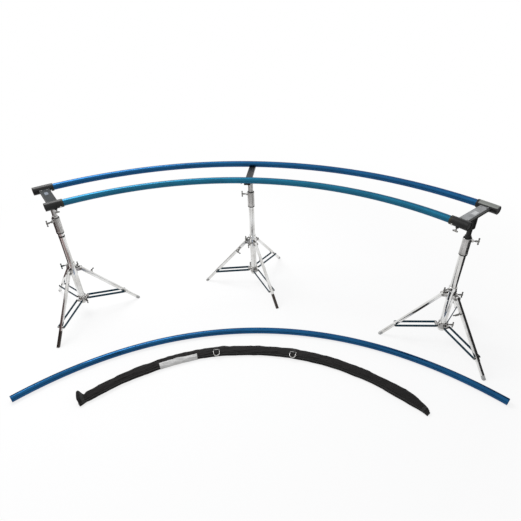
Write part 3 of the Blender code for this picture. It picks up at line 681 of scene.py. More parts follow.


# each plate's panel and inlaid slab lie between two corners on its upper face. The right plate's light grey slab is
# a painted highlight on its black top
leftPlate = dict(
    material=plateSlate, ribs=bracketBlack, panel=panelSlate, panelBox=((-0.012, 0.018), (0.010, 0.064)),
    outerSocket=bracketBlack, spigot=castChrome, highlightInlay=None, pinned=False)
rightPlate = dict(
    material=bracketBlack, ribs=None, panel=labelSilver, panelBox=((-0.012, -0.020), (0.012, 0.028)),
    outerSocket=socketPaintedHighlight, spigot=bracketBlack, highlightInlay=((-0.030, -0.1245), (0.019, 0.1245)), pinned=True)


def makeEndBracket(side, look):
    # a plate between two sockets, with the neck and spigot below and a screw boss under each socket
    place, angle = bracketPlace(side)
    direction = -math.copysign(1, angle)
    parts = makeSocket(outerCurve, angle, direction, look["outerSocket"], bracketBlack)
    parts += makeSocket(innerCurve, angle, direction, bracketBlack, oliveBronze)
    top = railHeight + endPlate["rise"]
    halfWidth = endPlate["width"] / 2
    halfLength = (outerCurve["radius"] - innerCurve["radius"]) / 2 - rail["radius"]
    inlaid = 0.001 if look["highlightInlay"] else 0.0
    local = [(softBox(
        (-halfWidth, -halfLength, top - endPlate["thickness"]), (halfWidth, halfLength, top - inlaid),
        endPlate["corner"], 0.001), look["material"])]
    # a light grey slab over the right plate's top: a painted highlight
    if look["highlightInlay"]:
        low, high = look["highlightInlay"]
        local.append((softBox((*low, top - 0.003), (*high, top), 0.002, 0.0004), platePaintedHighlight))
    if look["ribs"]:
        for edge in (-1, 1):
            inner, outer = sorted((edge * halfWidth, edge * (halfWidth - endPlate["rib"])))
            local.append((softBox(
                (inner, -halfLength, top - 0.004), (outer, halfLength, top + endPlate["ribHeight"]), 0.001, 0.0006),
                look["ribs"]))
    low, high = look["panelBox"]
    local.append((softBox((*low, top - 0.002), (*high, top + 0.0003), 0.0015, 0.0002), look["panel"]))
    local += capScrews(endPlate, top)
    local.append((makeNeck(top - endPlate["thickness"] / 2), bracketBlack))
    local.append((makeSpigot(neck["foot"] + 0.01, neck["shoulder"]), look["spigot"]))
    parts += movedParts(local, place)
    for label, curve in (("inner", innerCurve), ("outer", outerCurve)):
        joint = f"{side}_{label}_clamp_screw"
        end = socket["radius"] + clampBoss["height"]
        parts.append((screwBoss(joint, rail["radius"] + 0.001, end, clampBoss["radius"]), bracketBlack))
        half = socket["halfLength"] * curve["radius"] / trackRadius
        along = direction * (half - setScrew["fromMouth"]) / curve["radius"]
        centre = Vector(onCurve(curve, np.float64(angle + along), 0.0, curve["height"]))
        # its head looks inwards, leaning away from straight down
        lean = math.radians(setScrew["lean"])
        inwards = Vector((-math.sin(angle + along), -math.cos(angle + along), 0))
        axis = inwards * math.sin(lean) - zAxis * math.cos(lean)
        head = moved(capScrew(setScrew["radius"], setScrew["height"]),
                     axisMatrix(centre + axis * (socket["radius"] - 0.0012), axis))
        parts.append((head, chrome))
    if look["pinned"]:
        # back is an angle in radians
        at = Vector(onCurve(outerCurve, np.float64(angle - direction * railEndPin["back"]), 0.0,
                            railHeight + socket["radius"] - railEndPin["sunk"]))
        pin = roundBar(0, railEndPin["height"], railEndPin["radius"], 0.0005)
        parts.append((moved(pin, Matrix.Translation(at)), zincSteel))
    makePiece(f"{side}Bracket", "track", (f"{side}_bracket",), parts)


def makeMiddleBracket():
    # a bar whose top follows both rails: z = railHeight - sqrt(room^2 - (y - yRail)^2) inside each groove
    place = bracketPlace("middle")[0]
    top = railHeight - rail["radius"] + bridge["groove"]
    foot = top - bridge["thickness"]
    halfGauge = (outerCurve["radius"] - innerCurve["radius"]) / 2
    low, high = -halfGauge - bridge["innerEnd"], halfGauge + bridge["outerEnd"]
    room = rail["radius"] + clear
    lip = math.sqrt(room ** 2 - (railHeight - top) ** 2)
    grooves = [y + np.linspace(-lip, lip, 17) for y in (-halfGauge, halfGauge)]
    y = np.concatenate((np.linspace(low + 0.002, high - 0.001, 41), *grooves))
    y = np.unique(np.round(y[(y >= low + 0.001) & (y <= high - 0.001)], 6))
    y = np.concatenate(([low], [low + 0.0004], y, [high - 0.0004], [high]))
    roof = np.full(len(y), top)
    for centre in (-halfGauge, halfGauge):
        inside = np.abs(y - centre) < lip
        roof[inside] = railHeight - np.sqrt(room ** 2 - (y[inside] - centre) ** 2)
    rows = []
    for index, (across, z) in enumerate(zip(y, roof)):
        drawn = 0.0008 if index in (0, len(y) - 1) else (0.0002 if index in (1, len(y) - 2) else 0.0)
        ring = roundedRing(bridge["width"] / 2 - drawn, (z - foot) / 2 - drawn, 0.0014)
        rows.append(np.column_stack((ring[:, 0], np.full(len(ring), across), ring[:, 1] + (z + foot) / 2)))
    local = [(gridShell(np.array(rows)), bracketBlack), (makeSpigot(foot + 0.004, foot + 0.001), castChrome)]
    parts = movedParts(local + capScrews(bridge, top), place)
    screwEnd = screwBoss("middle_clamp_screw", bridge["width"] / 2 - 0.002, bridge["bossEnd"], clampBoss["radius"])
    parts.append((screwEnd, bracketBlack))
    makePiece("middleBracket", "track", ("middle_bracket",), parts)


makeEndBracket("left", leftPlate)
makeEndBracket("right", rightPlate)
makeMiddleBracket()
print("brackets done")


# Stands. Each is built in its own frame: origin on the floor, X along the levelling leg

casting = dict(
    radius=0.0252, collar=0.02537, collarEnd=0.016, waistInset=0.0007, waistStart=0.0175, bore=0.01487,
    pinRoom=0.0663, webHole=0.004, riserBore=0.0203, ring=0.0032, footRing=0.0075, bossStart=0.018)
riser = dict(
    radius=0.0200, wall=0.0016, guide=0.0207, guideHeight=0.030, ringAt=0.664, ringHalf=0.0065, ringCrown=0.0055,
    ringRise=0.0010)
column = dict(
    radius=0.0225, bore=0.0210, hub=0.02795, hubLow=0.349, hubHigh=0.421, clamp=0.0260, clampHigh=0.446,
    riserBore=0.0203, ear=0.005, earRadius=0.012, earRoot=0.0195, lip=(0.007, 0.0085, 0.010), riserBossStart=0.020,
    hubBossStart=0.024)
boss = dict(radius=0.009, length=0.010)
leg = dict(
    half=0.009525, corner=0.0028, head=0.016, plugShown=0.0025, plugLength=0.006, length=0.516, foot=0.030,
    darkFoot=0.115, sleeveHalf=0.011125, sleeveWall=0.0013, sleeveCorner=0.0034, sleeveRimCorner=0.0031,
    sleeveBoreCorner=0.0022, sleeveLength=0.400, innerStart=0.008, braceJoint=0.375, bossRadius=0.008,
    barInner=0.019225)
collar = dict(radius=0.02855, bore=0.0228, half=0.022, lug=0.024, lugThickness=0.015, eye=0.009)
brace = dict(half=0.008, thickness=0.004, rivet=0.0056, rivetHeight=0.0035)
bolt = dict(shank=0.004, head=0.007, headHeight=0.0035)
darkLegs = (("left", "c"), ("middle", "b"))


def standMeasures(side):
    # the stand's frame and the legs' pivots, all read from the joints
    axis = joints[f"{side}_swivel"]["pos_m"]
    slide = Vector(joints[f"{side}_level_slide"]["axis"])
    pivot = Vector(joints[f"{side}_fold"]["pos_m"])
    bracePivot = Vector(joints[f"{side}_brace_a_fold"]["pos_m"])
    place = Matrix.Translation((axis[0], axis[1], 0)) @ Matrix.Rotation(math.atan2(slide.y, slide.x), 4, "Z")
    inverse = place.inverted()
    return dict(
        place=place, pivot=inverse @ pivot, slant=math.asin(-slide.z), bracePivot=inverse @ bracePivot)


def thirdTurn(index):
    # the three legs share out the full turn
    return Matrix.Rotation(index * 2 * math.pi / 3, 4, "Z")


def legMatrix(stand, index):
    # a leg's frame: origin on its pivot, X down along the leg
    return thirdTurn(index) @ Matrix.Translation(stand["pivot"]) @ Matrix.Rotation(stand["slant"], 4, "Y")


def tubePart(profile, material, count=40):
    # a ring or a tube: a closed profile that goes round the stand's axis
    return turned(softCorners(profile), count, closed=True), material


def handleBoss(side, label, start, end, flare=0.0025):
    # the boss that a T-handle's screw runs in, flared where it leaves its body
    joint = joints[f"{side}_{label}_screw"]
    radius = boss["radius"]
    shell = turnedSolid((
        (0, start), (radius + flare, start), (radius, start + 0.008, 0.002), (radius, end, 0.0012),
        (0.0048, end, 0.0004), (0.0044, end - 0.0012), (0, end - 0.0012)), 32)
    return moved(shell, axisMatrix(Vector(joint["pos_m"]), Vector(joint["axis"])))


def makeCasting(side, stand):
    # a sleeve on the riser's top: the spigot's bore above, a web with a hole, the riser's bore below.
    # Its two collars stand a little proud of its waist
    low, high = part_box(f"{side}_top_casting")
    foot, top = low.z, high.z
    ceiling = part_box(f"{side}_riser")[1].z
    outer, rim, ring, black = casting["radius"], casting["collar"], casting["ring"], casting["footRing"]
    bore, riserBore = casting["bore"], casting["riserBore"]
    roomFoot, webHole = top - casting["pinRoom"], casting["webHole"]
    collarEnd, waistStart, waist = casting["collarEnd"], casting["waistStart"], outer - casting["waistInset"]
    body = (
        (bore, top - ring), (outer - 0.001, top - ring, 0.0003), (rim, top - ring - 0.001, 0.0005),
        (rim, top - collarEnd, 0.0006), (waist, top - waistStart, 0.0006), (waist, foot + waistStart, 0.0006),
        (rim, foot + collarEnd, 0.0006), (rim, foot + black + 0.001, 0.0005),
        (outer - 0.001, foot + black, 0.0003), (riserBore, foot + black), (riserBore, ceiling + 0.001),
        (webHole, ceiling + 0.001), (webHole, roomFoot), (bore, roomFoot))
    topRing = ((bore, top), (outer - 0.0012, top, 0.0008), (outer - 0.0012, top - ring), (bore, top - ring))
    footRing = (
        (riserBore, foot), (riserBore, foot + black), (outer - 0.0008, foot + black),
        (outer - 0.0008, foot, 0.0008))
    parts = [tubePart(body, castChrome), tubePart(topRing, blackRubber), tubePart(footRing, blackRubber)]
    parts = movedParts(parts, stand["place"])
    parts.append((handleBoss(side, "receiver", casting["bossStart"], rim + boss["length"]), castChrome))
    makePiece(f"{side}TopCasting", f"{side}_riser", (f"{side}_top_casting",), parts)


def makeRiser(side, stand):
    # the tube that slides in the column, wider at its foot where it guides
    low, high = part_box(f"{side}_riser")
    outer, inner, guide = riser["radius"], riser["radius"] - riser["wall"], riser["guide"]
    guideTop = low.z + riser["guideHeight"]
    body = (
        (outer, high.z, 0.0006), (outer, guideTop), (guide, guideTop, 0.0006), (guide, low.z, 0.0006),
        (inner, low.z), (inner, high.z))
    profile = lengthened(softCorners(body), 0.05)
    parts = [(turned(profile, 40, closed=True), chrome)]
    if side == "left":
        # a dark ring, a little narrower on its outer face
        at, half, crown = riser["ringAt"], riser["ringHalf"], riser["ringCrown"]
        face = outer + riser["ringRise"]
        parts.append(tubePart((
            (outer - 0.0004, at - half), (outer - 0.0004, at + half), (face, at + crown, 0.0004),
            (face, at - crown, 0.0004)), blackRubber))
    makePiece(f"{side}Riser", f"{side}_riser", (f"{side}_riser",), movedParts(parts, stand["place"]))


def makeColumn(side, stand):
    # one tube widened to the hub and the riser's clamp above it, with a pair of ears for each leg
    radius, bore, hub, clampRing = column["radius"], column["bore"], column["hub"], column["clamp"]
    low, high, top = column["hubLow"], column["hubHigh"], column["clampHigh"]
    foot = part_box(f"{side}_base_column")[0].z
    body = (
        (clampRing, top, 0.0012), (clampRing, high + 0.002, 0.0012), (hub, high, 0.0025),
        (hub, low, 0.003), (radius + 0.001, low - 0.001, 0.0008), (radius, low - 0.004, 0.001),
        (radius, foot + 0.0012), (radius - 0.0006, foot, 0.0006),
        (bore, foot, 0.0004), (bore, high), (column["riserBore"], high), (column["riserBore"], top, 0.0006))
    profile = lengthened(softCorners(body), 0.05)
    parts = [(turned(profile, 48, closed=True), chrome)]
    upper, centre, lower = (top - drop for drop in column["lip"])
    lip = ((clampRing, upper, 0.0004), (clampRing - 0.001, centre, 0.0003),
           (clampRing, lower, 0.0004), (clampRing - 0.002, centre))
    parts.append(tubePart(lip, blackRubber))
    pivotX, pivotZ = stand["pivot"].x, stand["pivot"].z
    upright = Matrix.Rotation(math.pi / 2, 4, "X")
    for index, half in enumerate((leg["sleeveHalf"], leg["half"], leg["half"])):
        for direction in (-1, 1):
            near = direction * (half + clear)
            far = direction * (half + clear + column["ear"])
            ear = carried(
                lambda inset: stadiumRing(column["earRoot"] + 0.004, pivotX, column["earRadius"] - inset),
                -max(near, far), -min(near, far), 0.0009)
            matrix = thirdTurn(index) @ Matrix.Translation((0, 0, pivotZ)) @ upright
            parts.append((moved(ear, matrix), castChrome))
    parts = movedParts(parts, stand["place"])
    parts.append((handleBoss(side, "riser", column["riserBossStart"], clampRing + boss["length"]), castChrome))
    parts.append((handleBoss(side, "hub", column["hubBossStart"], hub + boss["length"]), castChrome))
    makePiece(f"{side}BaseColumn", f"{side}_base_column", (f"{side}_base_column",), parts)


def hexHead(height):
    # a six-sided head with its corners turned off
    radius = bolt["head"]
    return turnedSolid(((0, 0), (radius, 0), (radius, height * 0.8), (radius * 0.86, height), (0, height)), 6)


def legBolts(half):
    # the hinge's shank and heads, and the bosses that the brace's bars stand beside
    outside = half + 2 * clear + column["ear"]
    shank = roundBar(-outside, outside, bolt["shank"], 0.0004)
    parts = [(moved(shank, Matrix.Rotation(math.pi / 2, 4, "X")), zincSteel)]
    for direction in (-1, 1):
        out = axisMatrix((0, direction * outside, 0), (0, direction, 0), (1, 0, 0))
        parts.append((moved(hexHead(bolt["headHeight"]), out), zincSteel))
        start = axisMatrix((leg["braceJoint"], 0, 0), (0, direction, 0))
        barBoss = turnedSolid((
            (0, half - 0.002), (leg["bossRadius"] + 0.0012, half - 0.002),
            (leg["bossRadius"], half + 0.0022, 0.0006), (leg["bossRadius"], leg["barInner"] - clear, 0.0006),
            (0, leg["barInner"] - clear)), 28)
        parts.append((moved(barBoss, start), castChrome))
    return parts


def tubeRows(ring, xs):
    # a ring in YZ repeated along X
    return [np.column_stack((np.full(len(ring), x), ring)) for x in xs]


def squareLeg(stand, start, half, dark=False):
    # a square tube with round corners, whose foot ends level with the floor:
    # x = min(length, (h + z cos s) / sin s) for each line along it
    sine, cosine = math.sin(stand["slant"]), math.cos(stand["slant"])
    ring = roundedRing(half, half, leg["corner"], 4)
    end = leg["length"]
    seam = end - (leg["darkFoot"] if dark else leg["foot"])
    parts = []
    rows = tubeRows(roundedRing(half - 0.0006, half - 0.0006, leg["corner"] - 0.0004, 4), [start])
    rows += tubeRows(ring, [start + 0.0008, *np.linspace(start + 0.002, seam - 0.001, 14), seam])
    parts.append((gridShell(np.array(rows)), chrome))
    inset = roundedRing(half - 0.0004, half - 0.0004, leg["corner"], 4)
    last = np.minimum(end, (stand["pivot"].z + inset[:, 1] * cosine) / sine)
    footRows = tubeRows(inset, [seam - 0.002, seam + 0.002])
    for back, scale in ((0.0012, 1.0), (0.0003, 0.985), (0.0001, 0.93)):
        footRows.append(np.column_stack((last - back, inset * scale)))
    parts.append((gridShell(np.array(footRows)), footBrown if dark else footGrey))
    return parts


def topPlug(half):
    # a moulded plug in the leg's upper end
    ring = lambda inset: roundedRing(half - 0.0008 - inset, half - 0.0008 - inset, leg["corner"] - inset * 0.5)
    along = Matrix.Rotation(math.pi / 2, 4, "Y")
    return moved(carried(ring, -leg["head"], -leg["head"] + leg["plugLength"], 0.0015), along), blackRubber


def makePlainLegs(side, stand):
    # one square tube from the plug at its head to its foot, with its hinge's bolt
    for index, label in ((1, "b"), (2, "c")):
        parts = squareLeg(stand, -leg["head"] + leg["plugShown"], leg["half"], (side, label) in darkLegs)
        parts += legBolts(leg["half"]) + [topPlug(leg["half"])]
        matrix = stand["place"] @ legMatrix(stand, index)
        body = f"{side}_leg_{label}"
        makePiece(f"{side}Leg{label.upper()}", body, (body,), movedParts(parts, matrix))


def makeLevelLeg(side, stand):
    # the hinged sleeve runs down outside, round its rim and back up inside. The square leg slides in it
    half, wall = leg["sleeveHalf"], leg["sleeveWall"]
    outer = roundedRing(half, half, leg["sleeveCorner"], 4)
    inner = roundedRing(half - wall, half - wall, leg["sleeveBoreCorner"], 4)
    rim = roundedRing(half - 0.0004, half - 0.0004, leg["sleeveRimCorner"], 4)
    start, end = leg["plugShown"] - leg["head"], leg["sleeveLength"]
    rows = tubeRows(rim, [start])
    rows += tubeRows(outer, [start + 0.0006, *np.linspace(0.0, end - 0.001, 12), end - 0.0006])
    rows += tubeRows(rim, [end]) + tubeRows(inner, [end, *np.linspace(end - 0.001, 0.0, 12), start])
    parts = [(gridShell(np.array(rows), loop=True), chrome)]
    parts += legBolts(half) + [topPlug(half)]
    matrix = stand["place"] @ legMatrix(stand, 0)
    parts = movedParts(parts, matrix)
    parts.append((handleBoss(side, "level", half - 0.002, half + boss["length"], 0.002), castChrome))
    body = f"{side}_level_sleeve"
    makePiece(f"{side}LevelSleeve", body, (body,), parts)
    parts = movedParts(squareLeg(stand, leg["innerStart"], leg["half"]), matrix)
    body = f"{side}_level_leg"
    makePiece(f"{side}LevelLeg", body, (body,), parts)


def makeCollar(side, stand):
    # a ring on the column with three lugs, each ending in the eye that a pair of bars turns on
    radius, bore, half = collar["radius"], collar["bore"], collar["half"]
    height = stand["bracePivot"].z
    body = (
        (radius, height + half, 0.0018), (radius, height - half, 0.0018), (bore, height - half, 0.0006),
        (bore, height + half, 0.0006))
    parts = [tubePart(body, castChrome, 48)]
    pivotX = stand["bracePivot"].x
    reach = leg["barInner"] - clear
    for index in range(3):
        turn = thirdTurn(index)
        lug = softBox(
            (radius - 0.003, -collar["lug"] / 2, height - collar["lugThickness"] / 2),
            (pivotX, collar["lug"] / 2, height + collar["lugThickness"] / 2), 0.001, 0.0012)
        parts.append((moved(lug, turn), castChrome))
        eye = roundBar(-reach, reach, collar["eye"], 0.001, 32)
        parts.append((moved(eye, turn @ axisMatrix((pivotX, 0, height), (0, 1, 0))), castChrome))
    parts = movedParts(parts, stand["place"])
    parts.append((handleBoss(side, "collar", radius - 0.004, radius + boss["length"]), castChrome))
    body = f"{side}_brace_collar"
    makePiece(f"{side}BraceCollar", body, (body,), parts)


def rivet():
    # a low domed head
    radius, height = brace["rivet"], brace["rivetHeight"]
    t = np.linspace(0, math.pi / 2, 8)
    dome = np.column_stack((radius * np.cos(t), 0.001 + (height - 0.001) * np.sin(t)))
    dome[-1, 0] = 0.0
    return turned(np.concatenate((((0.0, -0.001), (radius, -0.001)), dome)), 24)


def makeBraces(side, stand):
    # each brace is a pair of flat bars from the collar's eye to the leg's bosses
    joint = legMatrix(stand, 0) @ Vector((leg["braceJoint"], 0, 0))
    run = joint - stand["bracePivot"]
    length, drop = run.length, math.atan2(-run.z, run.x)
    upright = Matrix.Rotation(math.pi / 2, 4, "X")
    inner, outer = leg["barInner"], leg["barInner"] + brace["thickness"]
    for index, label in enumerate("abc"):
        matrix = (stand["place"] @ thirdTurn(index) @ Matrix.Translation(stand["bracePivot"])
                  @ Matrix.Rotation(drop, 4, "Y"))
        parts = []
        for direction in (-1, 1):
            low, high = sorted((direction * inner, direction * outer))
            flat = carried(lambda inset: stadiumRing(0.0, length, brace["half"] - inset), -high, -low, 0.0005)
            parts.append((moved(flat, upright), braceBlue))
            for x in (0.0, length):
                head = axisMatrix((x, direction * outer, 0), (0, direction, 0))
                parts.append((moved(rivet(), head), zincSteel))
        pin = moved(roundBar(-outer, outer, bolt["shank"] - 0.0002, 0.0003), upright)
        parts.append((pin, zincSteel))
        body = f"{side}_brace_{label}"
        makePiece(f"{side}Brace{label.upper()}", body, (body,), movedParts(parts, matrix))


for side in sides:
    stand = standMeasures(side)
    makeCasting(side, stand)
    makeRiser(side, stand)
    makeColumn(side, stand)
    makePlainLegs(side, stand)
    makeLevelLeg(side, stand)
    makeCollar(side, stand)
    makeBraces(side, stand)
    print(side, "stand done")


# The empty bag lies in one bend on the floor

bag = dict(
    width=0.0714, height=0.037, leftEnd=(0.052, 0.022), rightEnd=(0.030, 0.014), taper=0.12, rows=620, columns=72,
    cord=0.0022, seams=(34, 150), seed=7, length=(bagCurve["end"] - bagCurve["start"]) * bagCurve["radius"])
# slump is a share of the height, droopFrom and droopOver are shares of the length, the rest are metres
cloth = dict(slump=0.16, folds=0.0034, creases=0.0040, sway=0.004, ripple=0.0030, droop=0.010, droopFrom=0.975,
             droopOver=0.025)
# at the open end: bulge is a share of the size, the rest are metres. At and Over place each hill along the bag
openEnd = dict(
    bulge=0.16, bulgeOver=0.022, drawnAt=0.042, drawnOver=0.016, flareOver=0.034, flareOut=0.022, flareUp=0.040,
    flareShort=0.026, tuck=0.010, tuckAt=0.048, tuckOver=0.014)
# around is in degrees over the bag from its far side, half is a share of its length
labelStrip = dict(start=(-0.490, -0.520), end=(-0.274, -0.413), around=(100, 196), lift=0.0030, thickness=0.0014)
ringLoop = dict(places=((-0.163, -0.344), (0.341, -0.306)), half=0.0055, around=(10, 98), thickness=0.0020)
endBand = dict(shares=(0.012, 0.985), half=0.004, around=(4, 176), thickness=0.0016)
wireRing = dict(half=0.0190, reach=0.0235, wire=0.0026, sink=0.009)


def smoothNoise(x, y, seed, octaves=4):
    # value noise on a lattice: each octave blends random lattice heights with 3t^2 - 2t^3, at twice the rate
    total, strength = 0 * x, 1.0
    for octave in range(octaves):
        lattice = np.random.default_rng(seed + octave).uniform(-1, 1, (64, 64))
        px, py = x * 2 ** octave, y * 2 ** octave
        ix, iy = np.floor(px).astype(int), np.floor(py).astype(int)
        tx, ty = px - ix, py - iy
        tx, ty = tx * tx * (3 - 2 * tx), ty * ty * (3 - 2 * ty)
        corner = lambda a, b: lattice[(ix + a) % 64, (iy + b) % 64]
        low = corner(0, 0) * (1 - tx) + corner(1, 0) * tx
        high = corner(0, 1) * (1 - tx) + corner(1, 1) * tx
        total = total + strength * (low * (1 - ty) + high * ty)
        strength *= 0.5
    return total


def hill(x, at, over):
    # e^-((x - at) / over)^2
    return np.exp(-((x - at) / over) ** 2)


def bagAngle(share):
    # the angle on the bag's curve at a share of its length
    return bagCurve["start"] + share * (bagCurve["end"] - bagCurve["start"])


def bagSize(share):
    # width and height thin towards both ends by sin of the share of the taper. The open left end
    # flares by e^-(s/a)^2, s along the bag, and is drawn in behind its mouth by e^-((s-b)/c)^2
    fullness = np.sin(np.clip((1 - np.abs(2 * share - 1)) / bag["taper"], 0, 1) * math.pi / 2)
    leftHalf = share < 0.5
    along = share * bag["length"]
    bulge = openEnd["bulge"]
    mouth = (1 + bulge * hill(along, 0, openEnd["bulgeOver"])
             - bulge * hill(along, openEnd["drawnAt"], openEnd["drawnOver"]))
    sizes = []
    for index, full in enumerate((bag["width"], bag["height"])):
        end = np.where(leftHalf, bag["leftEnd"][index], bag["rightEnd"][index])
        sizes.append((end + (full - end) * fullness) * mouth)
    return sizes


def bagPoint(share, around, lift=0.0):
    # a sagging tube: side = w/2 cos b, up = h (1 + sin b)/2 flattened below, with folds that run slanting
    # across it. Their depth fades where the cloth lies on the floor. lift stands the point off the cloth
    width, height = bagSize(share)
    along = share * bag["length"]
    cosine, sine = np.cos(around), np.sin(around)
    crown = np.clip(sine, 0, 1)
    slump = 1 + cloth["slump"] * smoothNoise(along * 3.1, 0 * along + 0.5, bag["seed"], 2)
    side = width / 2 * np.sign(cosine) * np.abs(cosine) ** 0.8
    up = np.where(sine > 0, height * (0.30 + 0.66 * crown ** 0.75 * slump), height * 0.30 * (1 + sine))
    folds = smoothNoise(along * 16 + 1.4 * cosine, cosine * 1.6 + sine * 1.3 + 8, bag["seed"] + 10, 4)
    creases = 1 - np.abs(smoothNoise(along * 9 - 2.2 * cosine, cosine * 2.1 + 20, bag["seed"] + 20, 3))
    depth = (cloth["folds"] * folds + cloth["creases"] * (creases ** 3 - 0.4)) * (0.35 + 0.65 * crown)
    ends = np.clip(np.minimum(share, 1 - share) * 60, 0.15, 1)
    depth = depth * ends + lift
    sway = cloth["sway"] * smoothNoise(along * 2.3, 0 * along + 3.5, bag["seed"] + 30, 2)
    ripple = cloth["ripple"] * smoothNoise(
        along * 9.0, np.sign(cosine) * 4.0 + 9.5, bag["seed"] + 40, 2) * np.abs(cosine)
    droop = cloth["droop"] * np.clip((share - cloth["droopFrom"]) / cloth["droopOver"], 0, 1) ** 2
    side = side + depth * cosine + sway + ripple * np.clip(along * 12, 0, 1) - droop
    up = up + depth * np.where(sine > 0, sine, 0.0)
    # the far side of the open end stands up and outwards, by e^-(s/a)^2, and ends a little short
    flare = hill(along, 0, openEnd["flareOver"])
    far = np.clip(cosine, 0, 1)
    tuck = openEnd["tuck"] * hill(along, openEnd["tuckAt"], openEnd["tuckOver"]) * far
    side = side + openEnd["flareOut"] * flare * far - tuck
    up = np.maximum(up + openEnd["flareUp"] * flare * np.clip(0.8 * cosine + 0.5 * sine, 0, 1), 0.0006)
    angle = bagAngle(share) + openEnd["flareShort"] * flare * far / bagCurve["radius"]
    return onCurve(bagCurve, angle, side, up)


def bagStrip(shares, around, lift, thickness, rows, columns):
    # a strip of cloth that lies on the bag: its upper face goes across, then its lower face back
    share = np.linspace(*shares, rows)[:, None]
    over = np.linspace(math.radians(around[0]), math.radians(around[1]), columns)
    upper = bagPoint(share + 0 * over, over + 0 * share, lift + thickness)
    lower = bagPoint(share + 0 * over, over[::-1] + 0 * share, lift - 0.002)
    return gridShell(np.concatenate((upper, lower), axis=1))


def unit(vectors):
    # each row at length 1
    return vectors / np.linalg.norm(vectors, axis=1)[:, None]


def wireRows(centre, across, up, radius, count):
    # circles round the points of a line: point = centre + r (across cos a + up sin a)
    angle = ringAngles(count)[None, :, None]
    return centre[:, None] + radius * (np.cos(angle) * across[:, None] + np.sin(angle) * up[..., None, :])


def bagCord(aroundAt, radius, rows=500):
    # a piped seam: a thin tube that follows one line of the bag
    share = np.linspace(0.004, 0.996, rows)
    centre = bagPoint(share, np.full(rows, aroundAt), radius * 0.4)
    forward = unit(np.gradient(centre, axis=0))
    sideways = unit(np.cross(forward, (0, 0, 1)))
    return gridShell(wireRows(centre, sideways, np.cross(sideways, forward), radius, 8))


def shareAt(x, y):
    # how far along the bag a place on the floor lies
    angle = math.atan2(x - bagCurve["centre"][0], y - bagCurve["centre"][1])
    return (angle - bagCurve["start"]) / (bagCurve["end"] - bagCurve["start"])


def dRing(share):
    # a bent wire ring, rounded towards the near side. It lies flat on the bag and its straight bar sinks
    # into the cloth under a loop of webbing
    high, middle, low = (np.array(bagPoint(np.float64(share), math.radians(a), 0.0034)) for a in (88, 121, 156))
    angle = bagAngle(share)
    along = np.array((math.cos(angle), -math.sin(angle), 0.0))
    down = (low - high) / np.linalg.norm(low - high)
    normal = np.cross(along, down)
    half, reach, wire = wireRing["half"], wireRing["reach"], wireRing["wire"]
    t = np.linspace(0, math.pi, 25)
    arc = np.column_stack((half * np.cos(t), reach - half + half * np.sin(t)))
    bar = np.column_stack((np.linspace(-half, half, 9), np.full(9, -reach)))
    arm = np.linspace(-reach, reach - half, 6)[1:-1]
    path = np.concatenate((
        arc, np.column_stack((np.full(4, -half), arm[::-1])), bar, np.column_stack((np.full(4, half), arm))))
    sink = wireRing["sink"] * np.clip((-path[:, 1:] - 0.010) / 0.010, 0, 1)
    centre = middle + path[:, :1] * along + path[:, 1:] * down - sink * normal * np.sign(normal[2])
    forward = unit(np.roll(centre, -1, axis=0) - np.roll(centre, 1, axis=0))
    return gridShell(wireRows(centre, np.cross(forward, normal), normal, wire, 12), loop=True)


def makeBag():
    # the opening at the left end is drawn back into the bag, so that its mouth shows its inside
    share = np.linspace(0.0, 1.0, bag["rows"])[:, None]
    around = ringAngles(bag["columns"])
    skin = bagPoint(share + 0 * around, around + 0 * share)
    inner = bagPoint(np.linspace(0.0, 0.03, 12)[::-1][:, None] + 0 * around, around + 0 * share[:12], -0.0035)
    rows = np.concatenate((inner, skin))
    parts = [(gridShell(rows), bagNylon)]
    for angle in bag["seams"]:
        parts.append((bagCord(math.radians(angle), bag["cord"]), webbing))
    shares = shareAt(*labelStrip["start"]), shareAt(*labelStrip["end"])
    strip = bagStrip(shares, labelStrip["around"], labelStrip["lift"], labelStrip["thickness"], 90, 16)
    parts.append((strip, labelCloth))
    for place in ringLoop["places"]:
        at = shareAt(*place)
        parts.append((dRing(at), castChrome))
        shares = at - ringLoop["half"], at + ringLoop["half"]
        parts.append((bagStrip(shares, ringLoop["around"], 0.0006, ringLoop["thickness"], 12, 16), webbing))
    for at in endBand["shares"]:
        shares = at - endBand["half"], at + endBand["half"]
        parts.append((bagStrip(shares, endBand["around"], 0.0006, endBand["thickness"], 8, 28), webbing))
    makePiece("railBag", "rail_bag", ("rail_bag",), parts)


makeBag()
print("bag done")


# Stage, light and camera

white = (1.0, 1.0, 1.0)
floor = dict(size=14.0, spread=(0.55, 0.55, 0.55), glow=(0.5, 0.5, 0.5), fadeFrom=1.6, fadeTo=3.4, glowNear=0.8)
worldSpread = (0.55, 0.55, 0.56)


def viewMix(owner, seen, other):
    # seen by the camera, in reflections and through glass, and other for the light that spreads
    path = node(owner, "ShaderNodeLightPath")
    first = node(owner, "ShaderNodeMath", {0: (path, "Is Camera Ray"), 1: (path, "Is Glossy Ray")},
                 operation="MAXIMUM")
    second = node(owner, "ShaderNodeMath", {0: (first, "Value"), 1: (path, "Is Transmission Ray")},
                  operation="MAXIMUM")
    return node(owner, "ShaderNodeMix", {"Factor": (second, "Value")}, data_type="RGBA",
                A=(*other, 1.0), B=(*seen, 1.0))


edge = floor["size"] / 2
floorMesh = bpy.data.meshes.new("studioFloor")
floorMesh.from_pydata([(-edge, -edge, 0), (edge, -edge, 0), (edge, edge, 0), (-edge, edge, 0)], [], [(0, 1, 2, 3)])
studioFloor = bpy.data.objects.new("studioFloor", floorMesh)
bpy.context.scene.collection.objects.link(studioFloor)

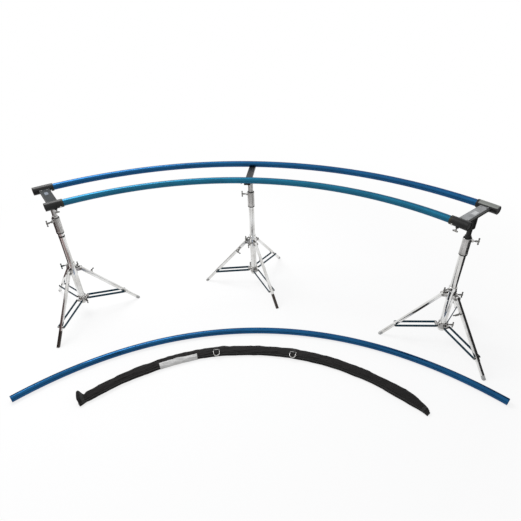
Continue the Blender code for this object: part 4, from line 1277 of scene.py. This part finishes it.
# matt paper that keeps the object's shadow near it and fades to a plain glow further out
floorPaint = bpy.data.materials.new("floorPaint")
floorPaint.use_nodes = True
floorPaint.node_tree.nodes.clear()
paper = node(floorPaint, "ShaderNodeBsdfDiffuse",
             {"Color": (viewMix(floorPaint, white, floor["spread"]), "Result")})
glow = node(floorPaint, "ShaderNodeEmission", {"Color": (viewMix(floorPaint, white, floor["glow"]), "Result")},
            Strength=1.0)
coordinates = node(floorPaint, "ShaderNodeTexCoord")
distance = node(floorPaint, "ShaderNodeVectorMath", {0: (coordinates, "Object")}, operation="LENGTH")
fade = node(floorPaint, "ShaderNodeMapRange", {"Value": (distance, "Value")},
            **{"From Min": floor["fadeFrom"], "From Max": floor["fadeTo"], "To Min": floor["glowNear"]})
blend = node(floorPaint, "ShaderNodeMixShader",
             {"Fac": (fade, "Result"), 1: (paper, "BSDF"), 2: (glow, "Emission")})
node(floorPaint, "ShaderNodeOutputMaterial", {"Surface": (blend, "Shader")})
floorMesh.materials.append(floorPaint)

world = bpy.data.worlds.new("studio")
world.use_nodes = True
bpy.context.scene.world = world
background = world.node_tree.nodes["Background"]
background.inputs["Strength"].default_value = 1.0
world.node_tree.links.new(viewMix(world, white, worldSpread).outputs["Result"], background.inputs["Color"])

softbox = dict(place=(-1.9, 1.0, 3.6), aim=(0.0, -0.2, 0.2), size=(2.2, 1.8), power=104.0)
lampData = bpy.data.lights.new("softbox", "AREA")
lampData.shape = "RECTANGLE"
lampData.size, lampData.size_y = softbox["size"]
lampData.energy = softbox["power"]
lamp = bpy.data.objects.new("softbox", lampData)
bpy.context.scene.collection.objects.link(lamp)
lamp.matrix_world = axisMatrix(softbox["place"], Vector(softbox["place"]) - Vector(softbox["aim"]), (1, 0, 0))

# low cards stand beside and before the set for the chrome to reflect, unseen by the camera and casting no shade
cards = (
    dict(place=(1.85, -0.2, 0.4), size=(2.4, 0.8), turn=90.0, colour=(0.015, 0.015, 0.015)),
    dict(place=(-1.8, -0.2, 0.4), size=(2.4, 0.8), turn=90.0, colour=(0.16, 0.10, 0.095)),
    dict(place=(0.0, -1.75, 0.2), size=(3.4, 0.4), turn=0.0, colour=(0.03, 0.03, 0.03)),
    dict(place=(-1.12, -0.56, 0.27), size=(0.75, 0.40), turn=12.0, colour=(0.50, 0.38, 0.37)),
    dict(place=(0.99, -0.15, 0.22), size=(0.50, 0.24), turn=0.0, colour=(0.02, 0.02, 0.02)),
)
for index, card in enumerate(cards):
    halfX, halfZ = card["size"][0] / 2, card["size"][1] / 2
    cardMesh = bpy.data.meshes.new(f"darkCard{index}")
    turn = Matrix.Translation(card["place"]) @ Matrix.Rotation(math.radians(card["turn"]), 4, "Z")
    corners = [turn @ Vector(point) for point in (
        (-halfX, 0, -halfZ), (halfX, 0, -halfZ), (halfX, 0, halfZ), (-halfX, 0, halfZ))]
    cardMesh.from_pydata(corners, [], [(0, 1, 2, 3)])
    cardMesh.materials.append(newMaterial(f"cardPaint{index}", card["colour"], 0.0, 0.9))
    cardObject = bpy.data.objects.new(f"darkCard{index}", cardMesh)
    bpy.context.scene.collection.objects.link(cardObject)
    for ray in ("camera", "diffuse", "shadow", "transmission", "volume_scatter"):
        setattr(cardObject, f"visible_{ray}", False)

view = dict(place=(0.457, -2.23576, 2.0897), turn=9.15, drop=34.185, roll=-0.0313, focal=419.217, pixels=521.0)
cameraData = bpy.data.cameras.new("camera")
cameraData.sensor_width = 36.0
cameraData.lens = view["focal"] * cameraData.sensor_width / view["pixels"]
camera = bpy.data.objects.new("camera", cameraData)
bpy.context.scene.collection.objects.link(camera)
camera.matrix_world = (
    Matrix.Translation(view["place"]) @ Matrix.Rotation(math.radians(view["turn"]), 4, "Z")
    @ Matrix.Rotation(math.radians(90 - view["drop"]), 4, "X") @ Matrix.Rotation(view["roll"], 4, "Z"))
bpy.context.scene.camera = camera
bpy.context.scene.view_settings.view_transform = "Standard"
print("stage done")
